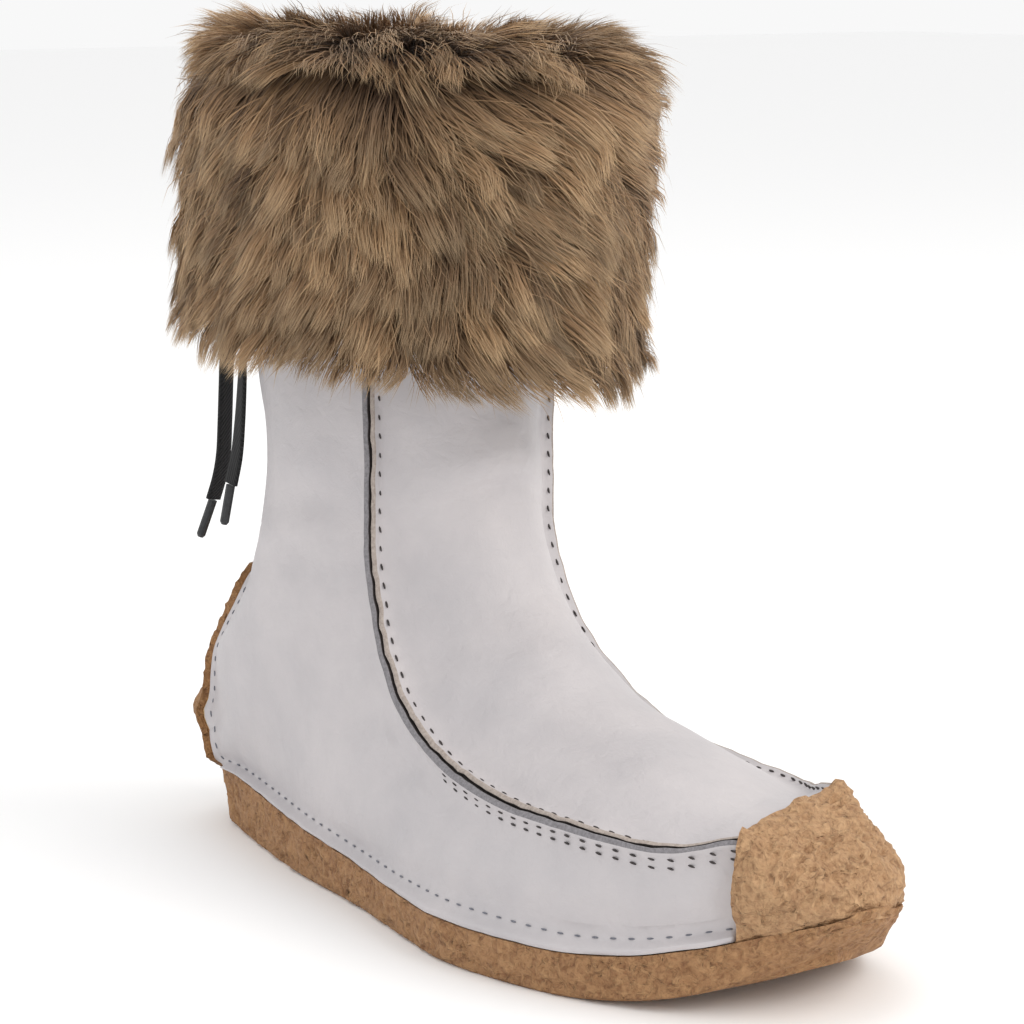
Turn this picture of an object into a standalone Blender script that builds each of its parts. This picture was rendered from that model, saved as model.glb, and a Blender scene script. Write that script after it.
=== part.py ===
"""A right-foot mukluk boot: leather upper, crepe wedge sole, toe bumper, heel strip, fur cuff and lace ends.

Metres, +Z up, toe towards -Y, the wearer's right (outer) side towards -X.
The origin is on the floor under the middle of the heel.
Inside the functions a place is (along, side, up): along runs forward from the back of the sole,
side is positive towards the inner side of the foot.
"""
import math
import random

import bmesh
import bpy
from mathutils import Vector

# Driving sizes of the sole
SOLE_LENGTH = 0.270
BALL_WIDTH = 0.095
HEEL_SOLE = 0.0200       # crepe under the back of the heel
BALL_SOLE = 0.0122       # crepe under the ball
TOE_SOLE = 0.0100        # crepe at the tip of the toe
TOE_SPRING = 0.0190      # lift of the bottom at the tip of the toe
ARCH_LIFT = 0.0040       # lift of the bottom under the waist, at its inner edge
SOLE_UNDERCUT = 0.0012   # how far the bottom edge lies inside the top edge
HEEL_UNDERCUT = 0.0045   # the same at the back of the heel
HEEL_END = 0.3           # turn at which the heel's undercut has run out
HEEL_SEAT = 0.045        # from the back of the sole to the origin

# Driving sizes of the upper
INSTEP_HEIGHT = 0.120    # floor to the throat, where the foot turns into the shaft
COLLAR_HEIGHT = 0.225    # floor to the top edge of the leather
ANKLE_DEPTH = 0.100
ANKLE_WIDTH = 0.074
ANKLE_CENTRE = 0.081     # from the back of the sole to the middle of the ankle
LEATHER = 0.0020         # wall of the upper
SEAM_HEIGHT = 0.0042     # the standing seams
SEAM_WIDTH = 0.0034      # two layers of leather side by side
SEAM_GAP = 0.62          # height of the gap between the two layers, as a share of the seam's height
MARGIN_WIDTH = 0.0045    # leather turned out and stitched down along the sole
MARGIN_THICK = 0.0018
FEATHER_INSET = 0.0045   # how far inside the sole's edge the wall of the upper stands
HEEL_INSET = 0.0005      # the same at the back of the heel
INSET_END = 0.25         # turn at which the full inset is reached
TOE_TURN = 0.25          # slope of the toe's sections, whose outer end lies further forward
TOE_ROLL = 0.09          # slope of the toe's top, whose inner side lies higher
CLEARANCE = 0.0003

# Driving sizes of the crepe pieces
BUMPER_LENGTH = 0.0250    # from the tip of the sole to the rear edge of the toe bumper
BUMPER_THICK = 0.0034
BUMPER_TURNS = (-1.0, -0.75, -0.5, -0.25, 0.0, 0.4, 0.75, 0.9, 1.0, 1.1, 1.25, 1.6, 2.0)   # its division
RIDGE_TURN = 0.12         # half width, in turns, of the ridge in which the seams run on under the crepe
RIDGE_ROWS = 1.2          # its length from the rear edge, in rows
RIDGE_SUNK = 0.3          # share of the crepe's thickness that the ridge sinks in
STRIP_HEIGHT = 0.090     # floor to the top of the heel strip
STRIP_WIDTH = 0.046
STRIP_THICK = 0.0030
STRIP_TAPER = 0.18       # share by which it narrows from the sole to its top
STRIP_ROUND = 0.40       # depth of its rounded top, as a share of its width
INSOLE_THICK = 0.0030
INSOLE_ROOM = 0.0012     # from the insole's edge to the inside of the upper
INSOLE_TOE_ROOM = 0.0080   # the same added at the tip of the toe, where the upper is low
INSOLE_TOE_FROM = 0.78   # turn from which it is added
SOLE_EDGE_ROUND = 0.0012   # rounding of the sole's bottom edge
SHEET_SHARES = (0.0, 0.12, 0.5, 1.0)   # heights that divide a sheet's side; the rounding ends at the second
OVERHANG_LIFT = 0.0020   # how fast a crepe piece that bulges over the sole's edge rises off it

# Driving sizes of the fur cuff and the laces
CUFF_TOP = 0.244         # floor to its crest at the back
CUFF_TOP_DROP = 0.004    # how much lower the crest is in front
CUFF_LOW = 0.157         # floor to its lower edge at the back
CUFF_LOW_DROP = 0.015    # how much lower it hangs in front
CUFF_THICK = 0.0175      # from the shaft to the outside of the fur, at the collar
CUFF_LEAN = 0.0040       # how much thicker the fur is in front and on the inner side
CUFF_FLARE = 0.0045      # how much further it stands off the shaft at its lower edge
CUFF_BACKING = 0.0070    # how far the turned-down fold stands off the shaft at its lower edge
CUFF_LAP = 0.0045        # how far the fur reaches in over the collar
LACE_ROOM = 0.0070       # how much further the fold stands off where the lace ends hang
LACE_ROOM_AT = 27.0      # degrees from the back, on the outer side, to the middle of that place
LACE_ROOM_SPREAD = 24.0  # its reach to each side, in degrees
LOCK_DEPTH = 0.0060      # how far a lock of fur stands out of the cuff
LOCK_DROP = 0.0040       # how far its tip hangs over the next tier
LOCKS_ROUND = 22
LOCK_TIERS = 5
LOCK_SPREAD = ((0.0, 0.25), (0.75, 1.1))   # how far, as shares of the depth, a gap and a lock stand out
FOLD_SHARES = (0.0, 0.35, 0.7, 1.0)        # heights at which the fold's back is divided
LACE_WIDTH = 0.0060
LACE_THICK = 0.0014
AGLET_LENGTH = 0.0120
AGLET_WIDTH = 0.0028

# Ways of the two lace ends, as (along, side, up), from the shaft under the cuff to the aglet
REAR_ROUTE = (
    (0.0319, -0.0200, 0.1720),
    (0.0300, -0.0207, 0.1670),
    (0.0274, -0.0217, 0.1620),
    (0.0246, -0.0228, 0.1570),
    (0.0220, -0.0239, 0.1510),
    (0.0206, -0.0246, 0.1450),
    (0.0202, -0.0248, 0.1381),
    (0.0199, -0.0252, 0.1266),
    (0.0195, -0.0256, 0.1170),
    (0.0188, -0.0266, 0.1098),
    (0.0175, -0.0283, 0.1025),
)
REAR_AGLET_TOWARDS = (0.0150, -0.0316, 0.0908)
REAR_FACING = ((-0.38, 0.92), (-0.27, 0.96))   # direction of the ribbon's width, at its start and its end
OUTER_ROUTE = (
    (0.0439, -0.0316, 0.1720),
    (0.0435, -0.0322, 0.1650),
    (0.0430, -0.0326, 0.1550),
    (0.0427, -0.0330, 0.1480),
    (0.0425, -0.0333, 0.1411),
    (0.0420, -0.0339, 0.1299),
    (0.0414, -0.0348, 0.1195),
    (0.0403, -0.0363, 0.1109),
)
OUTER_AGLET_TOWARDS = (0.0391, -0.0378, 0.1004)
OUTER_FACING = ((-0.80, 0.60), (-1.00, 0.01))

HALF_BALL = BALL_WIDTH / 2
CUFF_TURN = 30.0          # degrees by which the cuff's front lies towards the inner side

# Sole plan. turn: 0 at the back of the heel to 1 at the toe, fullness: half width over the sine of the
# turn, swing: sideways shift of the middle, both as shares of half the ball width;
# thick: share from ball thickness (0) to heel thickness (1); lift: share of the toe spring;
# arch: share of the arch lift
SOLE_COLUMNS = ("turn", "fullness", "swing", "thick", "lift", "arch")
SOLE_ROWS = (
    (0.00, 1.32, 0.00, 1.00, 0.00, 0.0),
    (0.12, 1.22, 0.00, 0.96, 0.00, 0.0),
    (0.20, 1.01, 0.01, 0.86, 0.00, 0.0),
    (0.28, 0.89, -0.01, 0.70, 0.00, 0.0),
    (0.37, 0.83, -0.07, 0.42, 0.00, 0.5),
    (0.44, 0.80, -0.12, 0.18, 0.00, 1.0),
    (0.51, 0.87, -0.16, 0.03, 0.00, 0.7),
    (0.57, 1.00, -0.15, 0.00, 0.00, 0.0),
    (0.62, 1.08, -0.095, 0.00, 0.00, 0.0),
    (0.68, 1.15, -0.02, 0.00, 0.00, 0.0),
    (0.74, 1.19, 0.05, 0.00, 0.11, 0.0),
    (0.80, 1.18, 0.10, 0.00, 0.33, 0.0),
    (0.87, 1.06, 0.13, -0.35, 0.64, 0.0),
    (1.00, 0.90, 0.13, -1.00, 1.00, 0.0),
)

# Foot sections, from the tip of the toe to the back of the heel. turn: where the section stands on the
# sole; seam_along, seam_up: the seam as shares of the sole length and the instep height; seam_side:
# its half width, share of half the ball width; swing: sideways shift of the seams, the same share;
# crown: how far the top lies beyond the seam, as a share of the way from the sole to the seam;
# widest: share of half the ball width; at: height of the widest place, as a share of the way to the
# seam; twist: share of the toe's turn and roll
FOOT_COLUMNS = (
    "turn", "seam_along", "seam_up", "seam_side", "swing", "crown", "widest", "at", "twist")
FOOT_ROWS = (
    (1.000, 0.980, 0.268, 0.000, 0.00, 0.000, 0.00, 0.45, 0.0),
    (0.965, 0.970, 0.297, 0.180, 0.00, 0.040, 0.22, 0.45, 0.2),
    (0.920, 0.954, 0.334, 0.305, 0.00, 0.050, 0.37, 0.45, 0.5),
    (0.875, 0.934, 0.366, 0.380, 0.00, 0.055, 0.49, 0.45, 0.8),
    (0.825, 0.907, 0.388, 0.430, 0.00, 0.060, 0.54, 0.42, 1.0),
    (0.790, 0.874, 0.373, 0.550, -0.03, 0.130, 0.66, 0.40, 0.9),
    (0.760, 0.845, 0.358, 0.645, -0.05, 0.210, 0.74, 0.40, 0.6),
    (0.680, 0.770, 0.350, 0.780, -0.02, 0.420, 0.90, 0.40, 0.0),
    (0.600, 0.667, 0.352, 0.805, 0.00, 0.610, 0.93, 0.42, 0.0),
    (0.520, 0.581, 0.383, 0.785, 0.00, 0.630, 0.88, 0.44, 0.0),
    (0.440, 0.517, 0.437, 0.750, 0.00, 0.550, 0.83, 0.46, 0.0),
    (0.360, 0.467, 0.508, 0.715, 0.00, 0.420, 0.80, 0.50, 0.0),
    (0.280, 0.434, 0.587, 0.680, 0.00, 0.312, 0.78, 0.54, 0.0),
    (0.200, 0.413, 0.662, 0.650, 0.00, 0.253, 0.775, 0.57, 0.0),
    (0.120, 0.401, 0.729, 0.630, 0.00, 0.228, 0.785, 0.60, 0.0),
    (0.060, 0.392, 0.787, 0.615, 0.00, 0.222, 0.795, 0.62, 0.0),
    (0.000, 0.387, 0.842, 0.610, 0.00, 0.218, 0.800, 0.63, 0.0),
)

# Shaft sections, from just above the sole at the back to the collar. back_along, seam_along: shares of
# half the ankle depth, from the ankle's middle; back_up: share of the way from the sole to the collar;
# seam_up: share of the way from the last foot section's seam to the collar; seam_side, widest: shares
# of half the ankle width
SHAFT_COLUMNS = ("back_along", "back_up", "seam_along", "seam_up", "seam_side", "crown", "widest", "at")
SHAFT_ROWS = (
    (-1.785, 0.038, 0.470, 0.040, 0.785, 0.215, 1.03, 0.63),
    (-1.770, 0.087, 0.470, 0.085, 0.785, 0.215, 1.03, 0.63),
    (-1.560, 0.145, 0.470, 0.135, 0.785, 0.220, 1.02, 0.63),
    (-1.350, 0.200, 0.470, 0.185, 0.785, 0.234, 1.00, 0.63),
    (-1.200, 0.253, 0.470, 0.235, 0.785, 0.258, 1.00, 0.62),
    (-1.085, 0.311, 0.470, 0.290, 0.790, 0.291, 1.00, 0.62),
    (-1.010, 0.389, 0.470, 0.360, 0.795, 0.306, 1.00, 0.62),
    (-1.000, 0.487, 0.480, 0.470, 0.800, 0.308, 1.01, 0.62),
    (-1.070, 0.609, 0.510, 0.610, 0.815, 0.295, 1.05, 0.62),
    (-1.090, 0.780, 0.580, 0.800, 0.850, 0.285, 1.11, 0.62),
    (-1.090, 1.000, 0.650, 1.000, 0.890, 0.275, 1.17, 0.62),
)


def column(rows, names, name):
    place = names.index(name)
    return [row[place] for row in rows]


def through(keys, values, key):
    """Value of a smooth curve through the rows, at a key."""
    if key <= keys[0]:
        return values[0]
    if key >= keys[-1]:
        return values[-1]
    last = len(keys) - 1
    at = max(i for i in range(last) if keys[i] <= key)

    def slope(i):
        low = max(i - 1, 0)
        high = min(i + 1, last)
        return (values[high] - values[low]) / (keys[high] - keys[low])

    span = keys[at + 1] - keys[at]
    part = (key - keys[at]) / span
    start = values[at] * (2 * part**3 - 3 * part**2 + 1) + slope(at) * span * (part**3 - 2 * part**2 + part)
    end = values[at + 1] * (3 * part**2 - 2 * part**3) + slope(at + 1) * span * (part**3 - part**2)
    return start + end


def sole_value(name, turn):
    return through(column(SOLE_ROWS, SOLE_COLUMNS, "turn"), column(SOLE_ROWS, SOLE_COLUMNS, name), turn)


def sole_along(turn, length=SOLE_LENGTH):
    return length * (1 - math.cos(math.pi * turn)) / 2


def turn_at(along):
    return math.acos(max(-1.0, min(1.0, 1 - 2 * along / SOLE_LENGTH))) / math.pi


def bottom_up(along, inward=0.5):
    """Height of the sole's bottom; inward is 0 on the outer edge and 1 on the inner edge, over the arch."""
    turn = turn_at(along)
    lift = max(0.0, sole_value("lift", turn))
    arch = max(0.0, sole_value("arch", turn))
    return TOE_SPRING * lift + ARCH_LIFT * arch * inward


def top_up(along):
    """Height of the sole's top, where the upper sits."""
    turn = turn_at(along)
    share = sole_value("thick", turn)
    step = HEEL_SOLE - BALL_SOLE if share > 0 else BALL_SOLE - TOE_SOLE
    return TOE_SPRING * max(0.0, sole_value("lift", turn)) + BALL_SOLE + share * step


def sole_edge(turn, hand, inset=0.0):
    """Point (along, side) on the outline of the sole's top, or inside it; hand is -1 outer, 1 inner."""

    def edge(t):
        half = HALF_BALL * sole_value("fullness", t) * math.sin(math.pi * t)
        middle = HALF_BALL * sole_value("swing", t) * min(1.0, 4 * t)
        return Vector((sole_along(t), middle + hand * half))

    step = 0.004
    here = edge(turn)
    if inset == 0.0:
        return here
    run = edge(min(turn + step, 1.0)) - edge(max(turn - step, 0.0))
    if turn < step:
        run = Vector((0.0, hand))
    if turn > 1 - step:
        run = Vector((0.0, -hand))
    outward = Vector((-run.y, run.x)).normalized() * hand
    return here - outward * inset


def feather_inset(turn):
    """Inset of the upper's wall: small at the back of the heel, where the crepe strip covers it."""
    share = min(turn / INSET_END, 1.0)
    return HEEL_INSET + (FEATHER_INSET - HEEL_INSET) * share * share * (3 - 2 * share)


def world(along, side, up):
    return Vector((side, HEEL_SEAT - along, up))


def on_sole(place, lift=0.0):
    """The place straight above or below, just clear of the sole's top."""
    return Vector((place.x, place.y, top_up(place.x) + CLEARANCE + lift))


def above_sole(place, lift):
    """The place, raised where it would reach into the sole's top or nearer to it than the lift."""
    return Vector((place.x, place.y, max(place.z, on_sole(place, lift).z)))


def section_values(row):
    """Measures of the section at a row number that may lie between two rows of the tables."""
    foot_last = len(FOOT_ROWS) - 1
    keys = list(range(len(FOOT_ROWS) + len(SHAFT_ROWS)))
    half_depth = ANKLE_DEPTH / 2
    heel_up = top_up(0.0) + CLEARANCE
    heel_seam = INSTEP_HEIGHT * FOOT_ROWS[-1][FOOT_COLUMNS.index("seam_up")]

    def values(name, foot_size, shaft_size, shaft_start=0.0):
        foot = [v * foot_size for v in column(FOOT_ROWS, FOOT_COLUMNS, name)]
        shaft = [shaft_start + v * shaft_size for v in column(SHAFT_ROWS, SHAFT_COLUMNS, name)]
        return through(keys, foot + shaft, row)

    found = {
        "seam_along": values("seam_along", SOLE_LENGTH, half_depth, ANKLE_CENTRE),
        "seam_up": values("seam_up", INSTEP_HEIGHT, COLLAR_HEIGHT - heel_seam, heel_seam),
        "seam_side": values("seam_side", HALF_BALL, ANKLE_WIDTH / 2),
        "crown": values("crown", 1.0, 1.0),
        "swing": 0.0,
        "twist": 0.0,
        "full": values("widest", HALF_BALL, ANKLE_WIDTH / 2),
        "at": values("at", 1.0, 1.0),
    }
    if row <= foot_last:
        turn = through(keys[:foot_last + 1], column(FOOT_ROWS, FOOT_COLUMNS, "turn"), row)
        outer = sole_edge(turn, -1, feather_inset(turn))
        inner = sole_edge(turn, 1, feather_inset(turn))
        found["back"] = {-1: outer.x, 1: inner.x}
        found["base"] = max((inner.y - outer.y) / 2, 0.0)
        found["middle"] = (inner.y + outer.y) / 2
        found["back_up"] = {hand: top_up(found["back"][hand]) + CLEARANCE for hand in (-1, 1)}
        for name, size in (("swing", HALF_BALL), ("twist", 1.0)):
            found[name] = size * through(keys[:foot_last + 1], column(FOOT_ROWS, FOOT_COLUMNS, name), row)
    else:
        back = [HEEL_INSET] + [
            ANKLE_CENTRE + v * half_depth for v in column(SHAFT_ROWS, SHAFT_COLUMNS, "back_along")]
        ups = [heel_up] + [
            heel_up + v * (COLLAR_HEIGHT - heel_up) for v in column(SHAFT_ROWS, SHAFT_COLUMNS, "back_up")]
        along = through(keys[foot_last:], back, row)
        up = through(keys[foot_last:], ups, row)
        found["back"] = {-1: along, 1: along}
        found["base"] = 0.0
        found["middle"] = 0.0
        found["back_up"] = {-1: up, 1: up}
    found["full"] = max(found["full"], found["base"] * 1.01)
    return found


def skin_point(found, hand, turn):
    """Point of the smooth upper; turn is -1 at the sole or back, 0 widest, 1 at the seam, 2 on top."""
    full = found["full"]
    at = found["at"]
    seam_side = found["seam_side"]
    if turn <= 0:
        start = math.asin(min(found["base"] / full, 1.0)) if full > 0 else math.pi / 2
        angle = start + (math.pi / 2 - start) * (1 + turn)
        wide = full * math.sin(angle)
        high = at * (1 + turn)
        if math.cos(start) > 0.02:
            high = at * (math.cos(start) - math.cos(angle)) / math.cos(start)
    elif turn <= 1:
        wide = full + (seam_side - full) * turn**2
        high = at + (1 - at) * turn
    else:
        wide = seam_side * (2 - turn)
        high = 1 + found["crown"] * (1 - (2 - turn)**2)
    along = found["back"][hand] + (found["seam_along"] - found["back"][hand]) * high
    up = found["back_up"][hand] + (found["seam_up"] - found["back_up"][hand]) * high
    low = max(0.0, 1 - high)
    side = found["middle"] * low + found["swing"] * (1 - low) + hand * wide
    twist = found["twist"] * side * (1 - low)
    return Vector((along - TOE_TURN * twist, side, up + TOE_ROLL * twist))


def skin_normal(row, hand, turn):
    """Outward direction of the smooth upper."""
    if row < 0.01:
        return Vector((1.0, 0.0, 0.0))
    last = len(FOOT_ROWS) + len(SHAFT_ROWS) - 1
    row_step = 0.05
    turn_step = 0.02
    low = section_values(max(row - row_step, 0.02))
    high = section_values(min(row + row_step, last))
    along_rows = skin_point(high, hand, turn) - skin_point(low, hand, turn)
    here = section_values(max(row, 0.02))
    down = skin_point(here, hand, max(turn - turn_step, -1.0))
    over = skin_point(here, hand, min(turn + turn_step, 2.0))
    normal = along_rows.cross(over - down) * hand
    if turn >= 2.0 or (turn <= -1.0 and row >= len(FOOT_ROWS) - 1):
        normal.y = 0.0
    return normal.normalized()


# How the upper's grid is divided, for each side of a section
LOWER_STEPS = 4
SIDE_STEPS = 3
CROWN_STEPS = 4
HEEL_ROW = len(FOOT_ROWS) - 1
COLLAR_ROW = len(FOOT_ROWS) + len(SHAFT_ROWS) - 1
EDGE_ROW = 0.02           # from a full step to none, in rows
STRIP_TOP_BACKS = (0.35, 0.12, 0.0)   # rows that round the top of the heel strip, back from its tip
SEAM_FADE = (0.175, 0.205)   # the standing seam dies out between these heights, under the cuff


def find_row(low, high, measure, wanted):
    """Row between two rows at which a measure that falls with the row reaches a wanted value."""
    for _ in range(30):
        middle = (low + high) / 2
        if measure(middle) > wanted:
            low = middle
        else:
            high = middle
    return (low + high) / 2


def half_base(row):
    return section_values(row)["base"]


BUMPER_ROW = find_row(1.0, 8.0, lambda row: section_values(row)["seam_along"], SOLE_LENGTH - BUMPER_LENGTH)
STRIP_ROW = find_row(HEEL_ROW - 4.0, HEEL_ROW, half_base, STRIP_WIDTH / 2)
SEAM_ROW = BUMPER_ROW + 0.26          # where the standing seams start, clear of the toe bumper
MARGIN_START_ROW = BUMPER_ROW + 0.45  # the same for the margin
MARGIN_END_ROW = STRIP_ROW - 0.06     # where the margin ends, clear of the heel strip
STRIP_TOP_ROW = find_row(
    HEEL_ROW, COLLAR_ROW, lambda row: -section_values(row)["back_up"][1], -STRIP_HEIGHT)


def upper_rows():
    toe = [i * 0.5 for i in range(8)] + [4.0, 5.0, 5.5, 6.0, 6.5, 7.0, 7.5]
    foot = [8.0 + i * 0.5 for i in range(8)]
    heel = [HEEL_ROW - 1.5, HEEL_ROW - 0.5]
    rows = toe + foot + heel + [float(i) for i in range(12, COLLAR_ROW + 1)]
    for row in (SEAM_ROW, MARGIN_START_ROW, MARGIN_END_ROW):
        rows += [row - EDGE_ROW, row]
    rows.append(STRIP_ROW)
    rows += [STRIP_TOP_ROW - back for back in STRIP_TOP_BACKS]
    rows = sorted(rows)
    kept = [rows[0]]
    for row in rows[1:]:
        if row - kept[-1] > EDGE_ROW * 0.9:
            kept.append(row)
    return kept


def seam_turns(found, hand):
    """Turns of the two feet of the standing seam."""
    small = 0.05
    seam = skin_point(found, hand, 1.0)
    below = (seam - skin_point(found, hand, 1.0 - small)).length / small
    above = (skin_point(found, hand, 1.0 + small) - seam).length / small
    down, over = (min(SEAM_WIDTH / 2 / max(length, 0.001), 0.4) for length in (below, above))
    return 1.0 - down, 1.0 + over


def margin_share(row):
    """1 where the leather is turned out on the sole, 0 under the toe bumper and the heel strip."""
    return 1.0 if MARGIN_START_ROW - EDGE_ROW / 2 < row < MARGIN_END_ROW - EDGE_ROW / 2 else 0.0


def seam_share(row, up):
    if row < SEAM_ROW - EDGE_ROW / 2:
        return 0.0
    low, high = SEAM_FADE
    return max(0.0, min(1.0, (high - up) / (high - low)))


def side_points(row, hand):
    """Outer and inner points of one side of a section, from the sole to the top."""
    found = section_values(row)
    base = skin_point(found, hand, -1.0)
    base_out = skin_normal(row, hand, -1.0)
    flat_out = Vector((base_out.x, base_out.y, 0.0)).normalized()
    rise = MARGIN_THICK * margin_share(row)
    spread = base + flat_out * MARGIN_WIDTH * margin_share(row)
    inner_base = base - flat_out * LEATHER
    if row > HEEL_ROW:
        outer = [base] * 3
        inner = [inner_base] * 3
    else:
        outer = [on_sole(spread), on_sole(spread, rise), on_sole(base, rise)]
        inner = [on_sole(inner_base)] * 3
    first, second = seam_turns(found, hand)
    turns = [-1.0 + (i + 1) / LOWER_STEPS for i in range(LOWER_STEPS)]
    turns += [first * (i + 1) / (SIDE_STEPS + 1) for i in range(SIDE_STEPS)]
    for turn in turns:
        place = skin_point(found, hand, turn)
        outer.append(place)
        inner.append(place - skin_normal(row, hand, turn) * LEATHER)
    middle = (first + second) / 2
    lift = SEAM_HEIGHT * seam_share(row, skin_point(found, hand, middle).z)
    out = skin_normal(row, hand, middle)
    layers = ((first, 0.0), (first, 1.0), (middle, SEAM_GAP), (second, 1.0), (second, 0.0))
    for i, (turn, share) in enumerate(layers):
        outer.append(skin_point(found, hand, turn) + out * lift * share)
        spot = first + (second - first) * i / (len(layers) - 1)
        inner.append(skin_point(found, hand, spot) - out * LEATHER)
    for i in range(CROWN_STEPS):
        turn = second + (2.0 - second) * (i + 1) / CROWN_STEPS
        place = skin_point(found, hand, turn)
        outer.append(place)
        inner.append(place - skin_normal(row, hand, turn) * LEATHER)
    if row == COLLAR_ROW:
        inner = [Vector((place.x, place.y, COLLAR_HEIGHT)) for place in inner]
    return outer, inner


def finish(name, mesh, colour, roughness, metallic=0.0, sharp=35.0):
    bmesh.ops.remove_doubles(mesh, verts=mesh.verts, dist=0.00001)
    loose = [f for f in mesh.faces if f.calc_area() < 1e-12]
    bmesh.ops.delete(mesh, geom=loose, context="FACES_ONLY")
    bmesh.ops.recalc_face_normals(mesh, faces=mesh.faces)
    if mesh.calc_volume(signed=True) < 0:
        bmesh.ops.reverse_faces(mesh, faces=mesh.faces)
    data = bpy.data.meshes.new(name)
    mesh.to_mesh(data)
    mesh.free()
    data.shade_smooth()
    data.set_sharp_from_angle(angle=math.radians(sharp))
    thing = bpy.data.objects.new(name, data)
    bpy.context.scene.collection.objects.link(thing)
    material = bpy.data.materials.new(name)
    material.use_nodes = True
    shader = material.node_tree.nodes["Principled BSDF"]
    shader.inputs["Base Color"].default_value = (*colour, 1.0)
    shader.inputs["Roughness"].default_value = roughness
    shader.inputs["Metallic"].default_value = metallic
    data.materials.append(material)
    return thing


def add_points(mesh, points):
    return [mesh.verts.new(world(p.x, p.y, p.z)) for p in points]


def add_face(mesh, corners):
    kept = []
    for corner in corners:
        if all((corner.co - other.co).length > 0.00001 for other in kept):
            kept.append(corner)
    if len(kept) > 2 and mesh.faces.get(kept) is None:
        mesh.faces.new(kept)


def add_grid(mesh, lines, closed=False):
    """Faces between neighbouring lines of vertices; closed joins each line's end to its start."""
    for line, following in zip(lines, lines[1:]):
        count = len(line)
        for i in range(count if closed else count - 1):
            j = (i + 1) % count
            add_face(mesh, [line[i], line[j], following[j], following[i]])


def make_upper():
    mesh = bmesh.new()
    outer_lines = []
    inner_lines = []
    rows = upper_rows()
    for row in rows:
        outer_side, outer_inside = side_points(row, -1)
        inner_side, inner_inside = side_points(row, 1)
        outer_lines.append(add_points(mesh, outer_side + inner_side[::-1][1:]))
        inner_lines.append(add_points(mesh, outer_inside + inner_inside[::-1][1:]))
    heel = max(i for i, row in enumerate(rows) if row <= HEEL_ROW)
    add_grid(mesh, outer_lines[:heel + 1])
    add_grid(mesh, inner_lines[:heel + 1])
    add_grid(mesh, [line[2:-2] for line in outer_lines[heel:]])
    add_grid(mesh, [line[2:-2] for line in inner_lines[heel:]])
    for end in (0, -1):
        outer_rim = [line[end] for line in outer_lines[:heel + 1]]
        inner_rim = [line[end] for line in inner_lines[:heel + 1]]
        add_grid(mesh, [outer_rim, inner_rim])
    add_grid(mesh, [outer_lines[-1][2:-2], inner_lines[-1][2:-2]])
    return finish("upper", mesh, (0.62, 0.60, 0.60), 0.55)


def make_bumper():
    """Crepe band over the toe: the upper's own form, moved out, from the tip to its straight rear edge."""
    mesh = bmesh.new()
    rows = [row for row in upper_rows() if row < BUMPER_ROW - EDGE_ROW] + [BUMPER_ROW]
    outer_lines = []
    inner_lines = []
    for row in rows:
        found = section_values(row)
        gap = CLEARANCE * (2 if row == 0 else 1)
        outer = []
        inner = []
        for hand in (-1, 1):
            outside = []
            inside = []
            for turn in BUMPER_TURNS:
                out = skin_normal(row, hand, turn)
                place = skin_point(found, hand, turn)
                length = max(0.0, 1 - (BUMPER_ROW - row) / RIDGE_ROWS)
                rise = math.exp(-((turn - 1.0) / RIDGE_TURN) ** 2) * length
                thick = BUMPER_THICK + (SEAM_HEIGHT - BUMPER_THICK * RIDGE_SUNK) * rise
                if turn == -1.0:
                    out = Vector((out.x, out.y, 0.0)).normalized()
                    outside.append(on_sole(place + out * (gap + thick)))
                    inside.append(on_sole(place + out * gap))
                    continue
                lift = OVERHANG_LIFT * (turn + 1)
                outside.append(above_sole(place + out * (gap + thick), lift))
                inside.append(above_sole(place + out * gap, -0.7 * CLEARANCE))
            step = 1 if hand == -1 else -1
            outer += outside[::step][0 if hand == -1 else 1:]
            inner += inside[::step][0 if hand == -1 else 1:]
        outer_lines.append(add_points(mesh, outer))
        inner_lines.append(add_points(mesh, inner))
    add_grid(mesh, outer_lines)
    add_grid(mesh, inner_lines)
    for end in (0, -1):
        add_grid(mesh, [[line[end] for line in outer_lines], [line[end] for line in inner_lines]])
    add_grid(mesh, [outer_lines[-1], inner_lines[-1]])
    return finish("toe_bumper", mesh, (0.58, 0.36, 0.18), 0.85)


def strip_width(up):
    """Half width of the heel strip at a height: straight sides under a rounded top."""
    left = max(STRIP_HEIGHT - up, 0.0)
    round_part = STRIP_WIDTH * STRIP_ROUND
    wide = STRIP_WIDTH / 2 * (1.0 - STRIP_TAPER * max(0.0, up - HEEL_SOLE) / (STRIP_HEIGHT - HEEL_SOLE))
    if left < round_part:
        wide *= math.sqrt(max(0.0, 1.0 - (1.0 - left / round_part) ** 2))
    return wide


def strip_turn(found, hand):
    """Turn at which a section leaves the heel strip."""
    low = -1.0
    high = -0.05
    for _ in range(24):
        middle = (low + high) / 2
        place = skin_point(found, hand, middle)
        if abs(place.y) < strip_width(place.z):
            low = middle
        else:
            high = middle
    return low


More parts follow.
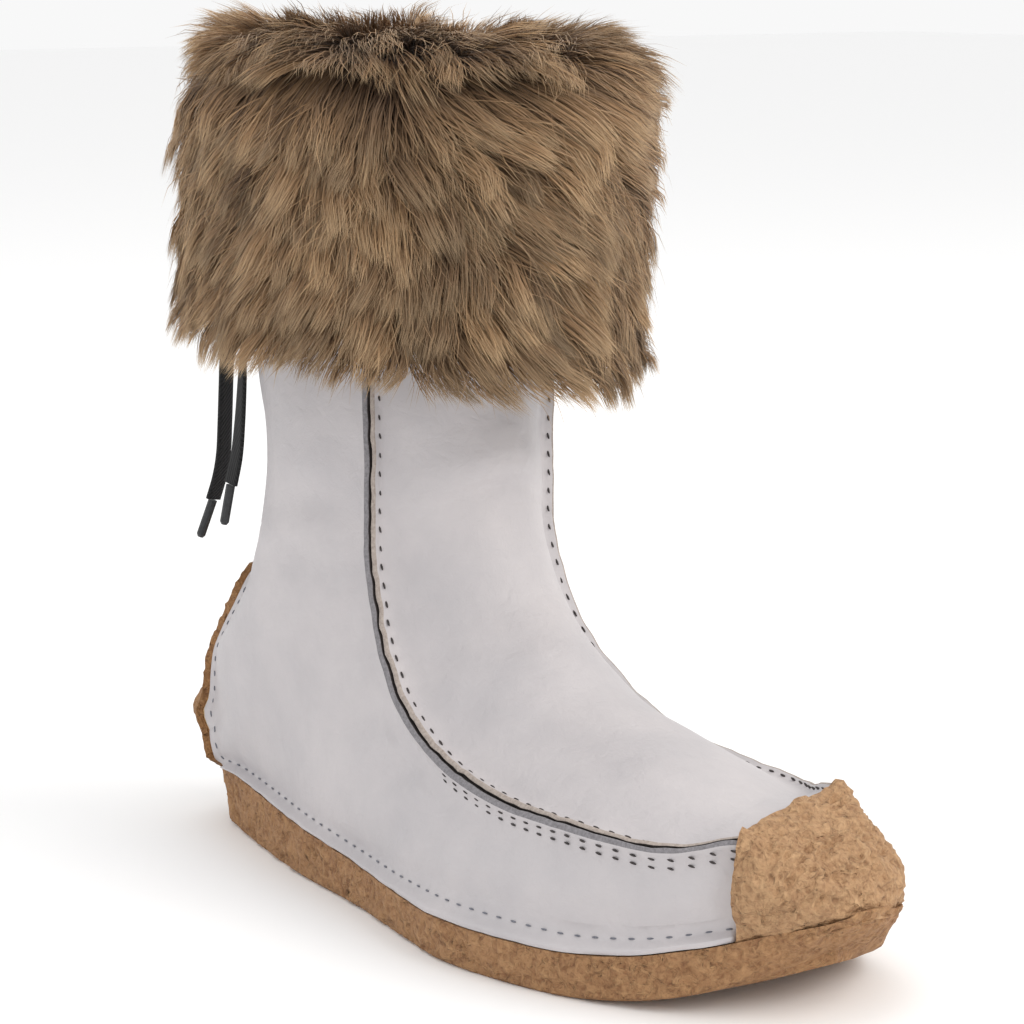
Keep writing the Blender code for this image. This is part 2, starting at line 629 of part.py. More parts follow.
def make_heel_strip():
    """Crepe tongue up the back of the heel, on the upper's own form."""
    mesh = bmesh.new()
    rows = [row for row in upper_rows() if STRIP_ROW <= row <= STRIP_TOP_ROW]
    steps = 4
    outer_lines = []
    inner_lines = []
    for row in rows:
        found = section_values(row)
        outer = []
        inner = []
        for hand in (-1, 1):
            edge = strip_turn(found, hand)
            turns = [-1.0 + (edge + 1.0) * i / steps for i in range(steps + 1)]
            outside = []
            inside = []
            for turn in turns:
                out = skin_normal(row, hand, turn)
                place = skin_point(found, hand, turn)
                if turn == -1.0 and row <= HEEL_ROW:
                    out = Vector((out.x, out.y, 0.0)).normalized()
                    outside.append(on_sole(place + out * (CLEARANCE + STRIP_THICK)))
                    inside.append(on_sole(place + out * CLEARANCE))
                    continue
                lift = OVERHANG_LIFT * (turn + 1)
                outside.append(above_sole(place + out * (CLEARANCE + STRIP_THICK), lift))
                inside.append(above_sole(place + out * CLEARANCE, -0.7 * CLEARANCE))
            outer.append(outside)
            inner.append(inside)
        outer_lines.append([add_points(mesh, side) for side in outer])
        inner_lines.append([add_points(mesh, side) for side in inner])
    heel = max(i for i, row in enumerate(rows) if row <= HEEL_ROW)
    for hand in (0, 1):
        outside = [line[hand] for line in outer_lines]
        inside = [line[hand] for line in inner_lines]
        add_grid(mesh, outside)
        add_grid(mesh, inside)
        add_grid(mesh, [[line[-1] for line in outside], [line[-1] for line in inside]])
        add_grid(mesh, [[line[0] for line in outside[:heel + 1]], [line[0] for line in inside[:heel + 1]]])
        add_face(mesh, outside[0] + inside[0][::-1])
    return finish("heel_strip", mesh, (0.50, 0.31, 0.16), 0.85)


def make_sheet(name, inset, low, high, colour, roughness, steps=34, across=4):
    """Closed solid on the sole's plan; inset(share) and the heights give its side profile."""
    mesh = bmesh.new()
    lines = []
    for i in range(steps + 1):
        turn = i / steps
        ring = []
        for hand in (-1, 1):
            for share in SHEET_SHARES[::-hand]:
                edge = sole_edge(turn, hand, inset(share, turn))
                bottom = low(edge.x, (1 + hand) / 2)
                ring.append(Vector((edge.x, edge.y, bottom + (high(edge.x) - bottom) * share)))
            if hand == -1:
                start = sole_edge(turn, -1, inset(1.0, turn))
                end = sole_edge(turn, 1, inset(1.0, turn))
                for j in range(1, across):
                    spot = start.lerp(end, j / across)
                    ring.append(Vector((spot.x, spot.y, high(spot.x))))
        start = sole_edge(turn, 1, inset(0.0, turn))
        end = sole_edge(turn, -1, inset(0.0, turn))
        for j in range(1, across):
            spot = start.lerp(end, j / across)
            ring.append(Vector((spot.x, spot.y, low(spot.x, 1 - j / across))))
        lines.append(add_points(mesh, ring))
    add_grid(mesh, lines, closed=True)
    return finish(name, mesh, colour, roughness)


def make_outsole():
    def inset(share, turn):
        heel = max(0.0, 1.0 - turn / HEEL_END)
        under = SOLE_UNDERCUT + (HEEL_UNDERCUT - SOLE_UNDERCUT) * heel
        rounding = SOLE_EDGE_ROUND * max(0.0, 1.0 - share / SHEET_SHARES[1])
        return under * (1.0 - share) + rounding

    return make_sheet("crepe_outsole", inset, bottom_up, top_up, (0.42, 0.26, 0.13), 0.9)


def make_insole():
    def inset(share, turn):
        toe = max(0.0, (turn - INSOLE_TOE_FROM) / (1.0 - INSOLE_TOE_FROM))
        return feather_inset(turn) + LEATHER + INSOLE_ROOM + INSOLE_TOE_ROOM * toe

    def low(along, inward):
        return top_up(along) + CLEARANCE

    def high(along):
        return low(along, 0.0) + INSOLE_THICK

    return make_sheet("insole", inset, low, high, (0.55, 0.45, 0.33), 0.9, across=3)


def section_turns(row, hand, count):
    """Turns that divide one side of a section, from the back to the top, into equal lengths."""
    found = section_values(row)
    samples = 90
    turns = [-1.0 + 3.0 * i / samples for i in range(samples + 1)]
    places = [skin_point(found, hand, turn) for turn in turns]
    run = [0.0]
    for place, following in zip(places, places[1:]):
        run.append(run[-1] + (following - place).length)
    picked = []
    for i in range(count + 1):
        wanted = run[-1] * i / count
        at = max(j for j in range(samples) if run[j] <= wanted)
        part = (wanted - run[at]) / (run[at + 1] - run[at])
        picked.append(turns[at] + part * (turns[at + 1] - turns[at]))
    return picked


def shaft_line(hand, turn):
    """Heights, places and outward directions up one line of the shaft."""
    line = []
    for row in range(HEEL_ROW + 1, COLLAR_ROW + 1):
        place = skin_point(section_values(row), hand, turn)
        out = skin_normal(row, hand, turn)
        line.append((place.z, place, Vector((out.x, out.y, 0.0)).normalized()))
    return line


def off_shaft(line, up, out):
    """Place at a height, a distance outside the shaft."""
    above = min(i for i in range(1, len(line)) if line[i][0] >= up or i == len(line) - 1)
    (low, start, first), (high, end, second) = line[above - 1], line[above]
    part = min((up - low) / (high - low), 1.0)
    place = start.lerp(end, part) + first.lerp(second, part) * out
    return Vector((place.x, place.y, up))


def cuff_loop(line, place, tips):
    """Closed line of the cuff at one place round the shaft; tips tells how far each tier's lock stands."""
    middle = Vector((ANKLE_CENTRE, 0.0, 0.0))
    away = place - middle
    angle = math.degrees(math.atan2(away.y, -away.x))
    front = (1 - math.cos(math.radians(angle + CUFF_TURN))) / 2
    low = CUFF_LOW - CUFF_LOW_DROP * front
    top = CUFF_TOP - CUFF_TOP_DROP * front
    thick = CUFF_THICK + CUFF_LEAN * (2 * front - 1)
    room = LACE_ROOM * math.exp(-((angle + LACE_ROOM_AT) / LACE_ROOM_SPREAD) ** 2)
    backing = CUFF_BACKING + room
    loop = []
    for share in FOLD_SHARES:
        up = low + (COLLAR_HEIGHT + CLEARANCE - low) * share
        loop.append(off_shaft(line, up, backing + (CLEARANCE - backing) * share))
    fold = COLLAR_HEIGHT + CLEARANCE
    for out, rise in ((-CUFF_LAP, 0.0), (-CUFF_LAP, 0.5), (-CUFF_LAP * 0.3, 0.87), (thick * 0.33, 1.0),
                      (thick * 0.72, 0.84)):
        loop.append(off_shaft(line, fold + (top - fold) * rise, out))
    start = fold + (top - fold) * 0.62
    tier = (start - low) / LOCK_TIERS
    for number in range(LOCK_TIERS):
        root = start - tier * number
        flare = CUFF_FLARE * number / (LOCK_TIERS - 1)
        stand = LOCK_DEPTH * tips[number]
        drop = LOCK_DROP * tips[number]
        loop.append(off_shaft(line, root, thick + flare - LOCK_DEPTH * 0.4))
        loop.append(off_shaft(line, root - tier * 0.55, thick + flare + stand * 0.55))
        loop.append(off_shaft(line, root - tier * 0.95 - drop, thick + flare + stand * 0.9))
    edge = thick + CUFF_FLARE
    loop.append(off_shaft(line, low - LOCK_DROP * 0.7 * tips[-1], backing + (edge - backing) * 0.6))
    return loop


def make_fur_cuff():
    """Turned-down fur as one ring, with shingled locks that stand out of its outside."""
    random.seed(5)
    mesh = bmesh.new()
    half = LOCKS_ROUND
    places = [(-1, turn) for turn in section_turns(COLLAR_ROW - 3, -1, half)]
    places += [(1, turn) for turn in section_turns(COLLAR_ROW - 3, 1, half)[::-1]][1:-1]
    lines = []
    for i, (hand, turn) in enumerate(places):
        line = shaft_line(hand, turn)
        tips = []
        for number in range(LOCK_TIERS):
            tips.append(random.uniform(*LOCK_SPREAD[(i + number) % 2]))
        lines.append(add_points(mesh, cuff_loop(line, line[-1][1], tips)))
    add_grid(mesh, lines + lines[:1], closed=True)
    return finish("fur_cuff", mesh, (0.30, 0.20, 0.13), 0.9, sharp=60.0)


def sweep(name, path, widths, across, depth, colour, roughness):
    """Flat strip along a path; widths tells the direction of its width at each place."""
    mesh = bmesh.new()
    lines = []
    last = len(path) - 1
    for i, (place, wide) in enumerate(zip(path, widths)):
        run = (path[min(i + 1, last)] - path[max(i - 1, 0)]).normalized()
        wide = (wide - run * wide.dot(run)).normalized() * across / 2
        thick = run.cross(wide).normalized() * depth / 2
        corners = [place + wide + thick, place - wide + thick, place - wide - thick, place + wide - thick]
        lines.append(add_points(mesh, corners))
    add_grid(mesh, lines, closed=True)
    add_face(mesh, lines[0])
    add_face(mesh, lines[-1])
    return finish(name, mesh, colour, roughness)


def make_lace_end(name, route, facing, steps=14):
    """Ribbon from under the cuff to the start of its aglet, turning from one facing to the other."""
    start_wide, end_wide = (Vector((*way, 0.0)) for way in facing)
    keys = list(range(len(route)))
    path = []
    widths = []
    for i in range(steps + 1):
        key = keys[-1] * i / steps
        path.append(Vector([through(keys, [spot[axis] for spot in route], key) for axis in range(3)]))
        widths.append(start_wide.lerp(end_wide, i / steps))
    return sweep(name, path, widths, LACE_WIDTH, LACE_THICK, (0.02, 0.02, 0.02), 0.7)


def make_aglet(name, start, towards):
    """Tip of a lace: a round sleeve with a rounded end."""
    mesh = bmesh.new()
    run = (Vector(towards) - Vector(start)).normalized()
    wide = run.cross(Vector((0.0, 0.0, 1.0))).normalized()
    deep = run.cross(wide)
    sides = 10
    lines = []
    for share, size in ((0.0, 1.0), (0.93, 1.0), (1.0, 0.6)):
        middle = Vector(start) + run * (CLEARANCE + AGLET_LENGTH * share)
        ring = []
        for i in range(sides):
            angle = 2 * math.pi * i / sides
            ring.append(middle + (wide * math.cos(angle) + deep * math.sin(angle)) * AGLET_WIDTH / 2 * size)
        lines.append(add_points(mesh, ring))
    add_grid(mesh, lines, closed=True)
    add_face(mesh, lines[0])
    add_face(mesh, lines[-1])
    return finish(name, mesh, (0.05, 0.05, 0.055), 0.4)


for thing in list(bpy.context.scene.objects):
    bpy.data.objects.remove(thing)

make_outsole()
make_upper()
make_insole()
make_bumper()
make_heel_strip()
make_fur_cuff()
make_lace_end("lace_end_rear", REAR_ROUTE, REAR_FACING)
make_aglet("aglet_rear", REAR_ROUTE[-1], REAR_AGLET_TOWARDS)
make_lace_end("lace_end_outer", OUTER_ROUTE, OUTER_FACING)
make_aglet("aglet_outer", OUTER_ROUTE[-1], OUTER_AGLET_TOWARDS)
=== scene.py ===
import math

import bmesh
import bpy
import numpy as np
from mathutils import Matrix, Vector, kdtree


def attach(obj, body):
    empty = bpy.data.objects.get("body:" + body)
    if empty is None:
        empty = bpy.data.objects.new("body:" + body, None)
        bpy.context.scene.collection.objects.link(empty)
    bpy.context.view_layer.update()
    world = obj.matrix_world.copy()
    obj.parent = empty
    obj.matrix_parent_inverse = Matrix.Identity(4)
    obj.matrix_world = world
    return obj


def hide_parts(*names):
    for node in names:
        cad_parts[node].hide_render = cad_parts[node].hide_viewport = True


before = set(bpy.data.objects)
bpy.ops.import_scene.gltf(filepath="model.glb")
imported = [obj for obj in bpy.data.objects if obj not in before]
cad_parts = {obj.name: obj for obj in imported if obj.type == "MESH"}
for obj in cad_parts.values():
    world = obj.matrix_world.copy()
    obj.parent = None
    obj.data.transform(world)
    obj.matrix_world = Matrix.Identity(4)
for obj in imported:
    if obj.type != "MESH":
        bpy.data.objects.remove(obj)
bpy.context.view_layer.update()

print("mukluk boot: frame loaded")

# A place on the boot is (along, side, up) in metres: along runs forward from the back of the sole,
# side is positive towards the inner side of the foot. The world has the toe towards -Y and the
# outer side towards -X.
bootSizes = {
    "soleLength": 0.270, "ballWidth": 0.095, "heelSeat": 0.045,
    "heelSole": 0.0200, "ballSole": 0.0122, "toeSole": 0.0100, "toeSpring": 0.0190, "archLift": 0.0040,
    "instepHeight": 0.120, "collarHeight": 0.225,
    "ankleDepth": 0.100, "ankleWidth": 0.074, "ankleCentre": 0.081,
    "featherInset": 0.0045, "heelInset": 0.0005, "insetEnd": 0.25,
    "toeTurn": 0.25, "toeRoll": 0.09, "clearance": 0.0003, "bumperStart": 0.2450,
    "stripHeight": 0.0865, "stripWidth": 0.046, "stripTaper": -0.28, "stripRound": 0.30,
}
halfBall = bootSizes["ballWidth"] / 2
halfAnkle = bootSizes["ankleWidth"] / 2


def toWorld(place):
    place = np.asarray(place, float)
    return np.stack([place[..., 1], bootSizes["heelSeat"] - place[..., 0], place[..., 2]], axis=-1)


def smoothCurve(keys, values, at):
    # value of a smooth curve through the rows of a table
    keys = np.asarray(keys, float)
    values = np.asarray(values, float)
    at = np.clip(np.asarray(at, float), keys[0], keys[-1])
    order = np.arange(len(keys))
    low = np.maximum(order - 1, 0)
    high = np.minimum(order + 1, len(keys) - 1)
    slopes = (values[high] - values[low]) / (keys[high] - keys[low])
    i = np.clip(np.searchsorted(keys, at, side="right") - 1, 0, len(keys) - 2)
    span = keys[i + 1] - keys[i]
    part = (at - keys[i]) / span
    start = values[i] * (2 * part**3 - 3 * part**2 + 1) + slopes[i] * span * (part**3 - 2 * part**2 + part)
    end = values[i + 1] * (3 * part**2 - 2 * part**3) + slopes[i + 1] * span * (part**3 - part**2)
    return start + end


def ramp(value, low, high):
    # soft step from 0 at low to 1 at high
    share = np.clip((value - low) / (high - low), 0, 1)
    return share * share * (3 - 2 * share)


def worldWay(way):
    return toWorld(way) - toWorld(np.zeros(3))


def addObject(name, data):
    made = bpy.data.objects.new(name, data)
    bpy.context.scene.collection.objects.link(made)
    return made


# Camera at the photograph's angle

photoView = {
    "aim": (0.0, -0.0841, 0.111), "back": (-0.5970, -0.7836, 0.1719), "distance": 0.9,
    "sensor": 36.0, "lensPerSensor": 3.1465,
}
camera = addObject("photoCamera", bpy.data.cameras.new("photoCamera"))
backward = Vector(photoView["back"]).normalized()
camera.location = Vector(photoView["aim"]) + backward * photoView["distance"]
camera.rotation_euler = (-backward).to_track_quat("-Z", "Y").to_euler()
camera.data.sensor_width = photoView["sensor"]
camera.data.lens = photoView["sensor"] * photoView["lensPerSensor"]
bpy.context.scene.camera = camera


# Materials: one helper for nodes, one for colours

def hexColour(text):
    shares = [int(text[i:i + 2], 16) / 255 for i in (0, 2, 4)]
    return tuple(s / 12.92 if s <= 0.04045 else ((s + 0.055) / 1.055) ** 2.4 for s in shares) + (1.0,)


def addNode(tree, kind, sockets=None, stops=(), **settings):
    # sockets: a value or another node's output for each input, by its name or its number;
    # stops: the places and colours of a colour ramp
    node = tree.nodes.new(kind)
    for name, value in settings.items():
        setattr(node, name, value)
    for key, value in (sockets or {}).items():
        if isinstance(value, bpy.types.NodeSocket):
            tree.links.new(value, node.inputs[key])
        else:
            node.inputs[key].default_value = value
    for _ in stops[2:]:
        node.color_ramp.elements.new(0.5)
    for i, (position, colour) in enumerate(stops):
        node.color_ramp.elements[i].position = position
        node.color_ramp.elements[i].color = hexColour(colour)
    return node


def startMaterial(name, **sockets):
    # an underscore in a socket's name stands for a space
    material = bpy.data.materials.new(name)
    material.use_nodes = True
    shader = material.node_tree.nodes["Principled BSDF"]
    for key, value in sockets.items():
        shader.inputs[key.replace("_", " ")].default_value = value
    place = addNode(material.node_tree, "ShaderNodeTexCoord").outputs["Object"]
    return material, material.node_tree, shader, place


def feed(shader, **outputs):
    for key, output in outputs.items():
        shader.id_data.links.new(output, shader.inputs[key.replace("_", " ")])


def perMetre(millimetres):
    # scale of a noise whose features are that wide
    return 1000.0 / millimetres


leatherFinish = {
    "patchColours": ((0.30, "b8b4b6"), (0.68, "c4bfc0")), "grainMm": 0.55, "creaseMm": 5.0, "patchMm": 28.0,
    "grainDepth": 0.00006, "creaseDepth": 0.00042,
}


def makeLeather():
    # full-grain calf, chrome tanned and pigment finished: a pale, slightly cool face with soft satin
    # light, faint cloudy patches and a very fine grain
    look = leatherFinish
    material, tree, shader, place = startMaterial(
        "pigmentedCalfLeather", Roughness=0.52, Specular_IOR_Level=0.38)
    patches, grain, crease = (
        addNode(tree, "ShaderNodeTexNoise", {
            "Vector": place, "Scale": perMetre(look[size]), **more}).outputs["Fac"]
        for size, more in (("patchMm", {"Detail": 4.0, "Roughness": 0.6}),
                           ("grainMm", {"Detail": 3.0, "Roughness": 0.6}),
                           ("creaseMm", {"Detail": 4.0, "Distortion": 0.6})))
    colour = addNode(tree, "ShaderNodeValToRGB", {"Fac": patches}, look["patchColours"])
    shine = addNode(tree, "ShaderNodeMapRange", {
        "Value": patches, "From Min": 0.3, "From Max": 0.7, "To Min": 0.46, "To Max": 0.58})
    wide = addNode(tree, "ShaderNodeBump", {
        "Height": crease, "Distance": look["creaseDepth"]})
    fine = addNode(tree, "ShaderNodeBump", {
        "Height": grain, "Distance": look["grainDepth"], "Normal": wide.outputs["Normal"]})
    feed(shader, Base_Color=colour.outputs["Color"], Roughness=shine.outputs["Result"],
         Normal=fine.outputs["Normal"])
    return material


crepeFinish = {
    "crumbMm": 1.5, "fleckMm": 1.44, "wrinkleMm": 3.6, "crumbDepth": 0.0009, "wrinkleDepth": 0.0010,
    "fleckShare": 0.12,
}


def makeCrepe(name, dark, middle, pale):
    # plantation crepe: milled natural rubber sheet, matt and translucent-looking, with a crinkled
    # crumb; colour and height share one value, so it is honey-brown in its hollows and paler on its crests:
    # the rubber's own mottle with painted shade in the hollows
    look = crepeFinish
    material, tree, shader, place = startMaterial(name, Roughness=0.72, Specular_IOR_Level=0.35)
    crumb = addNode(tree, "ShaderNodeTexNoise", {
        "Vector": place, "Scale": perMetre(look["crumbMm"]), "Detail": 5.0, "Roughness": 0.62,
        "Distortion": 0.7})
    wrinkle = addNode(tree, "ShaderNodeTexNoise", {
        "Vector": place, "Scale": perMetre(look["wrinkleMm"]), "Detail": 3.0, "Distortion": 1.2})
    cells = addNode(tree, "ShaderNodeTexVoronoi", {"Vector": place, "Scale": perMetre(look["fleckMm"])})
    mixed = addNode(tree, "ShaderNodeMath", {0: crumb.outputs["Fac"], 1: wrinkle.outputs["Fac"]},
                    operation="ADD")
    flecked = addNode(tree, "ShaderNodeMath", {
        0: cells.outputs["Distance"], 1: look["fleckShare"], 2: mixed.outputs["Value"]},
        operation="MULTIPLY_ADD")
    halved = addNode(tree, "ShaderNodeMath", {0: flecked.outputs["Value"], 1: 0.5}, operation="MULTIPLY")
    # dark where the crumb is low: painted shade in the hollows, over the rubber's own mottle
    colour = addNode(tree, "ShaderNodeValToRGB", {"Fac": halved.outputs["Value"]},
                     ((0.36, dark), (0.53, middle), (0.72, pale)))
    wide = addNode(tree, "ShaderNodeBump", {
        "Height": wrinkle.outputs["Fac"], "Distance": look["wrinkleDepth"]})
    fine = addNode(tree, "ShaderNodeBump", {
        "Height": flecked.outputs["Value"], "Distance": look["crumbDepth"],
        "Normal": wide.outputs["Normal"]})
    feed(shader, Base_Color=colour.outputs["Color"], Normal=fine.outputs["Normal"])
    return material


furFinish = {
    # the pile's colours from hide to tip: the dark root end is partly the dye and partly painted shade deep
    # in the pile
    "pile": ((0.0, "281a10"), (0.34, "5f4530"), (0.70, "9f7c59"), (1.0, "e3c69e")),   # from hide to tip
    "tones": ((0.0, "7a5d42"), (1.0, "b8956b")), "toneShare": 0.35, "shade": (0.50, 1.02),
}


def makeFur():
    # long-pile sheepskin, dyed taupe: dark close to the hide, partly the dye and partly painted shade deep
    # in the pile, straw-pale at the tips, each hair with a weak gloss along it; the attribute holds the share
    # of its length and the hair's own tone
    look = furFinish
    material, tree, shader, place = startMaterial(
        "dyedSheepskinPile", Roughness=0.55, Specular_IOR_Level=0.3, Sheen_Weight=0.12)
    hair = addNode(tree, "ShaderNodeAttribute", attribute_name="hair")
    parts = addNode(tree, "ShaderNodeSeparateXYZ", {"Vector": hair.outputs["Vector"]})
    base = addNode(tree, "ShaderNodeValToRGB", {"Fac": parts.outputs["X"]}, look["pile"])
    tone = addNode(tree, "ShaderNodeValToRGB", {"Fac": parts.outputs["Y"]}, look["tones"])
    colour = addNode(tree, "ShaderNodeMix", {
        "Factor": look["toneShare"], 6: base.outputs["Color"], 7: tone.outputs["Color"]}, data_type="RGBA")
    shade = addNode(tree, "ShaderNodeMapRange", {
        "Value": parts.outputs["Y"], "From Min": 0.0, "From Max": 1.0,
        "To Min": look["shade"][0], "To Max": look["shade"][1]})
    final = addNode(tree, "ShaderNodeMix", {
        "Factor": 1.0, 6: colour.outputs[2], 7: shade.outputs["Result"]},
        data_type="RGBA", blend_type="MULTIPLY")
    feed(shader, Base_Color=final.outputs[2])
    return material


def makeLaceWeave():
    # flat woven polyester lace: black, matt, with the slant ribs of its tubular weave
    material, tree, shader, place = startMaterial("wovenPolyesterLace", Roughness=0.78)
    onLace = addNode(tree, "ShaderNodeUVMap", uv_map="weave")
    ribs = addNode(tree, "ShaderNodeTexWave", {
        "Vector": onLace.outputs["UV"], "Scale": 0.45, "Distortion": 0.4},
        wave_type="BANDS", bands_direction="DIAGONAL").outputs["Fac"]
    # darker in the grooves between the ribs: painted shade
    colour = addNode(tree, "ShaderNodeValToRGB", {"Fac": ribs}, ((0.2, "070708"), (0.9, "18181a")))
    bump = addNode(tree, "ShaderNodeBump", {"Height": ribs, "Distance": 0.00018})
    feed(shader, Base_Color=colour.outputs["Color"], Normal=bump.outputs["Normal"])
    return material


def makePlain(name, dark, pale, rough, sizeMm, relief=0.0, paleAt=0.7, **noise):
    # one noise gives the colours and, where relief has a depth in metres, the surface's height; there the low
    # places get the darker colour, painted shade in the hollows over a tone that varies at random
    material, tree, shader, place = startMaterial(name, Roughness=rough)
    pattern = addNode(tree, "ShaderNodeTexNoise", {
        "Vector": place, "Scale": perMetre(sizeMm), **noise}).outputs["Fac"]
    colour = addNode(tree, "ShaderNodeValToRGB", {"Fac": pattern}, ((0.3, dark), (paleAt, pale)))
    feed(shader, Base_Color=colour.outputs["Color"])
    if relief:
        bump = addNode(tree, "ShaderNodeBump", {"Height": pattern, "Distance": relief})
        feed(shader, Normal=bump.outputs["Normal"])
    return material


# raw cut edge of the hide: matt and fibrous
cutEdge = {"rough": 0.85, "sizeMm": 0.9, "relief": 0.00012, "Detail": 4.0, "Roughness": 0.7}
# waxed polyester thread, pulled tight: a dull gloss
waxedThread = {"rough": 0.5, "sizeMm": 0.5, "Detail": 2.0}
# close underfur at the hide: dark, matt, felted; its dark brown is painted shade deep in the pile
underfurFelt = {"rough": 0.95, "sizeMm": 1.8, "relief": 0.0008, "Detail": 4.0}
# acetate tip, rolled on and heat shrunk: charcoal with a soft gloss
acetate = {"rough": 0.35, "sizeMm": 1.5, "paleAt": 0.75, "Detail": 3.0}
# wool felt on a cork board: cream, soft, with loose fibres
woolFelt = {"rough": 0.95, "sizeMm": 1.2, "relief": 0.0004, "Detail": 5.0, "Distortion": 1.0}

finishes = {
    "leather": makeLeather(),
    "sideEdge": makePlain("cutEdgeSidePanel", "6c696c", "918e91", **cutEdge),
    # the gap between the standing flanges: a near-black strip of painted shadow with the cut edge's texture
    "gap": makePlain("seamGapShadow", "2b2624", "4a4240", **cutEdge),
    "vampEdge": makePlain("cutEdgeVamp", "8f837c", "b9aea5", **cutEdge),
    "rimEdge": makePlain("cutEdgeHeelRim", "b99a66", "e0c48e", **cutEdge),
    "crepe": makeCrepe("plantationCrepeSole", "80583a", "a67d57", "bb9268"),
    # a paler copy of the sole's crepe: painted light on the toe, which faces the lamps
    "bumperCrepePaintedLight": makeCrepe("plantationCrepeBumperPaintedLight", "8c6748", "b38d68", "c8a27a"),
    # a darker copy of the sole's crepe: painted shade on the heel strip at the back
    "stripCrepePaintedShade": makeCrepe("plantationCrepeStripPaintedShade", "76502f", "997049", "b1875b"),
    "seamThread": makePlain("waxedSeamThread", "231e1e", "3b3331", **waxedThread),
    "marginThread": makePlain("waxedMarginThread", "5b5d66", "787a83", **waxedThread),
    "fur": makeFur(),
    "hide": makePlain("sheepskinUnderfurPaintedShade", "33251a", "5c4733", **underfurFelt),
    "lace": makeLaceWeave(),
    "aglet": makePlain("acetateAglet", "191a1c", "2c2d30", **acetate),
    "insole": makePlain("insoleWoolFelt", "a8977c", "d2c3a6", **woolFelt),
}
print("mukluk boot: materials ready")


# Meshes from grids of points

def gridFaces(lines, columns, start=0, closed=False):
    ids = start + np.arange(lines * columns).reshape(lines, columns)
    if closed:
        ids = np.concatenate([ids, ids[:, :1]], axis=1)
    return np.stack([ids[:-1, :-1], ids[:-1, 1:], ids[1:, 1:], ids[1:, :-1]], axis=-1).reshape(-1, 4)


def newMesh(name, points, faceGroups):
    mesh = bpy.data.meshes.new(name)
    points = np.ascontiguousarray(points, np.float32).reshape(-1, 3)
    mesh.vertices.add(len(points))
    mesh.vertices.foreach_set("co", points.ravel())
    corners = np.concatenate([group.ravel() for group in faceGroups]).astype(np.int32)
    sizes = np.concatenate([np.full(len(group), group.shape[1]) for group in faceGroups])
    mesh.loops.add(len(corners))
    mesh.loops.foreach_set("vertex_index", corners)
    mesh.polygons.add(len(sizes))
    mesh.polygons.foreach_set("loop_start", np.concatenate([[0], np.cumsum(sizes)[:-1]]).astype(np.int32))
    mesh.update(calc_edges=True)
    return mesh


def linkPiece(name, mesh, materials):
    for material in materials:
        mesh.materials.append(material)
    return addObject(name, mesh)


mergeWithin = 0.000008
emptyArea = 1e-13


def solidPiece(name, places, faceGroups, materials, faceFinish=None, sharpDegrees=40.0):
    # a closed solid: doubles merged, then its faces turned outwards
    mesh = newMesh(name, toWorld(places), faceGroups)
    if faceFinish is not None:
        mesh.polygons.foreach_set("material_index", np.asarray(faceFinish, np.int32))
    work = bmesh.new()
    work.from_mesh(mesh)
    bmesh.ops.remove_doubles(work, verts=work.verts, dist=mergeWithin)
    flat = [face for face in work.faces if face.calc_area() < emptyArea]
    bmesh.ops.delete(work, geom=flat, context="FACES_ONLY")
    bmesh.ops.recalc_face_normals(work, faces=work.faces)
    if work.calc_volume(signed=True) < 0:
        bmesh.ops.reverse_faces(work, faces=work.faces)
    work.to_mesh(mesh)
    work.free()
    mesh.shade_smooth()
    mesh.set_sharp_from_angle(angle=math.radians(sharpDegrees))
    return linkPiece(name, mesh, materials)


def shellGrid(outside, inside, rimsOf, start=0):
    # points and faces of two equal grids, the outer and the inner skin, joined along the rims
    count = outside.shape[0] * outside.shape[1]
    ids = start + np.arange(count).reshape(outside.shape[:2])
    rims = [np.stack([rim[:-1], rim[1:], rim[1:] + count, rim[:-1] + count], axis=-1) for rim in rimsOf(ids)]
    faces = [gridFaces(*ids.shape, start), gridFaces(*ids.shape, start + count)] + rims
    return np.concatenate([outside.reshape(-1, 3), inside.reshape(-1, 3)]), faces


def storeVectors(mesh, name, values):
    attribute = mesh.attributes.new(name, "FLOAT_VECTOR", "POINT")
    attribute.data.foreach_set("vector", np.ascontiguousarray(values, np.float32).ravel())


def fitPiece(piece, node):
    # the part has no joints, so each piece rides on its one body; stitches replace no node
    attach(piece, "root")
    if node:
        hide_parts(node)


def dressNode(name, finish):
    # a node of the solids that is shown as it is
    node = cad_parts[name]
    node.data.materials.clear()
    node.data.materials.append(finishes[finish])
    return node


def softWaves(places, size, seed, count=9):
    # smooth random field of about -1 to 1, with features of that size
    draw = np.random.default_rng(seed)
    ways = draw.normal(size=(count, 3))
    ways = ways / np.linalg.norm(ways, axis=1, keepdims=True) * draw.uniform(0.6, 1.5, (count, 1))
    starts = draw.uniform(0, 2 * np.pi, count)
    total = sum(np.sin(places @ way * 2 * np.pi / size + start) for way, start in zip(ways, starts))
    return total / math.sqrt(count)


def addWaves(total, places, fields):
    # each field is the size of its features, its seed and its amount
    for size, seed, amount in fields:
        total = total + amount * softWaves(places, size, seed)
    return total


# Sole plan and sections of the upper, in the shares of the CAD source

def namedColumns(names, rows):
    return dict(zip(names.split(), np.array(rows, float).T))


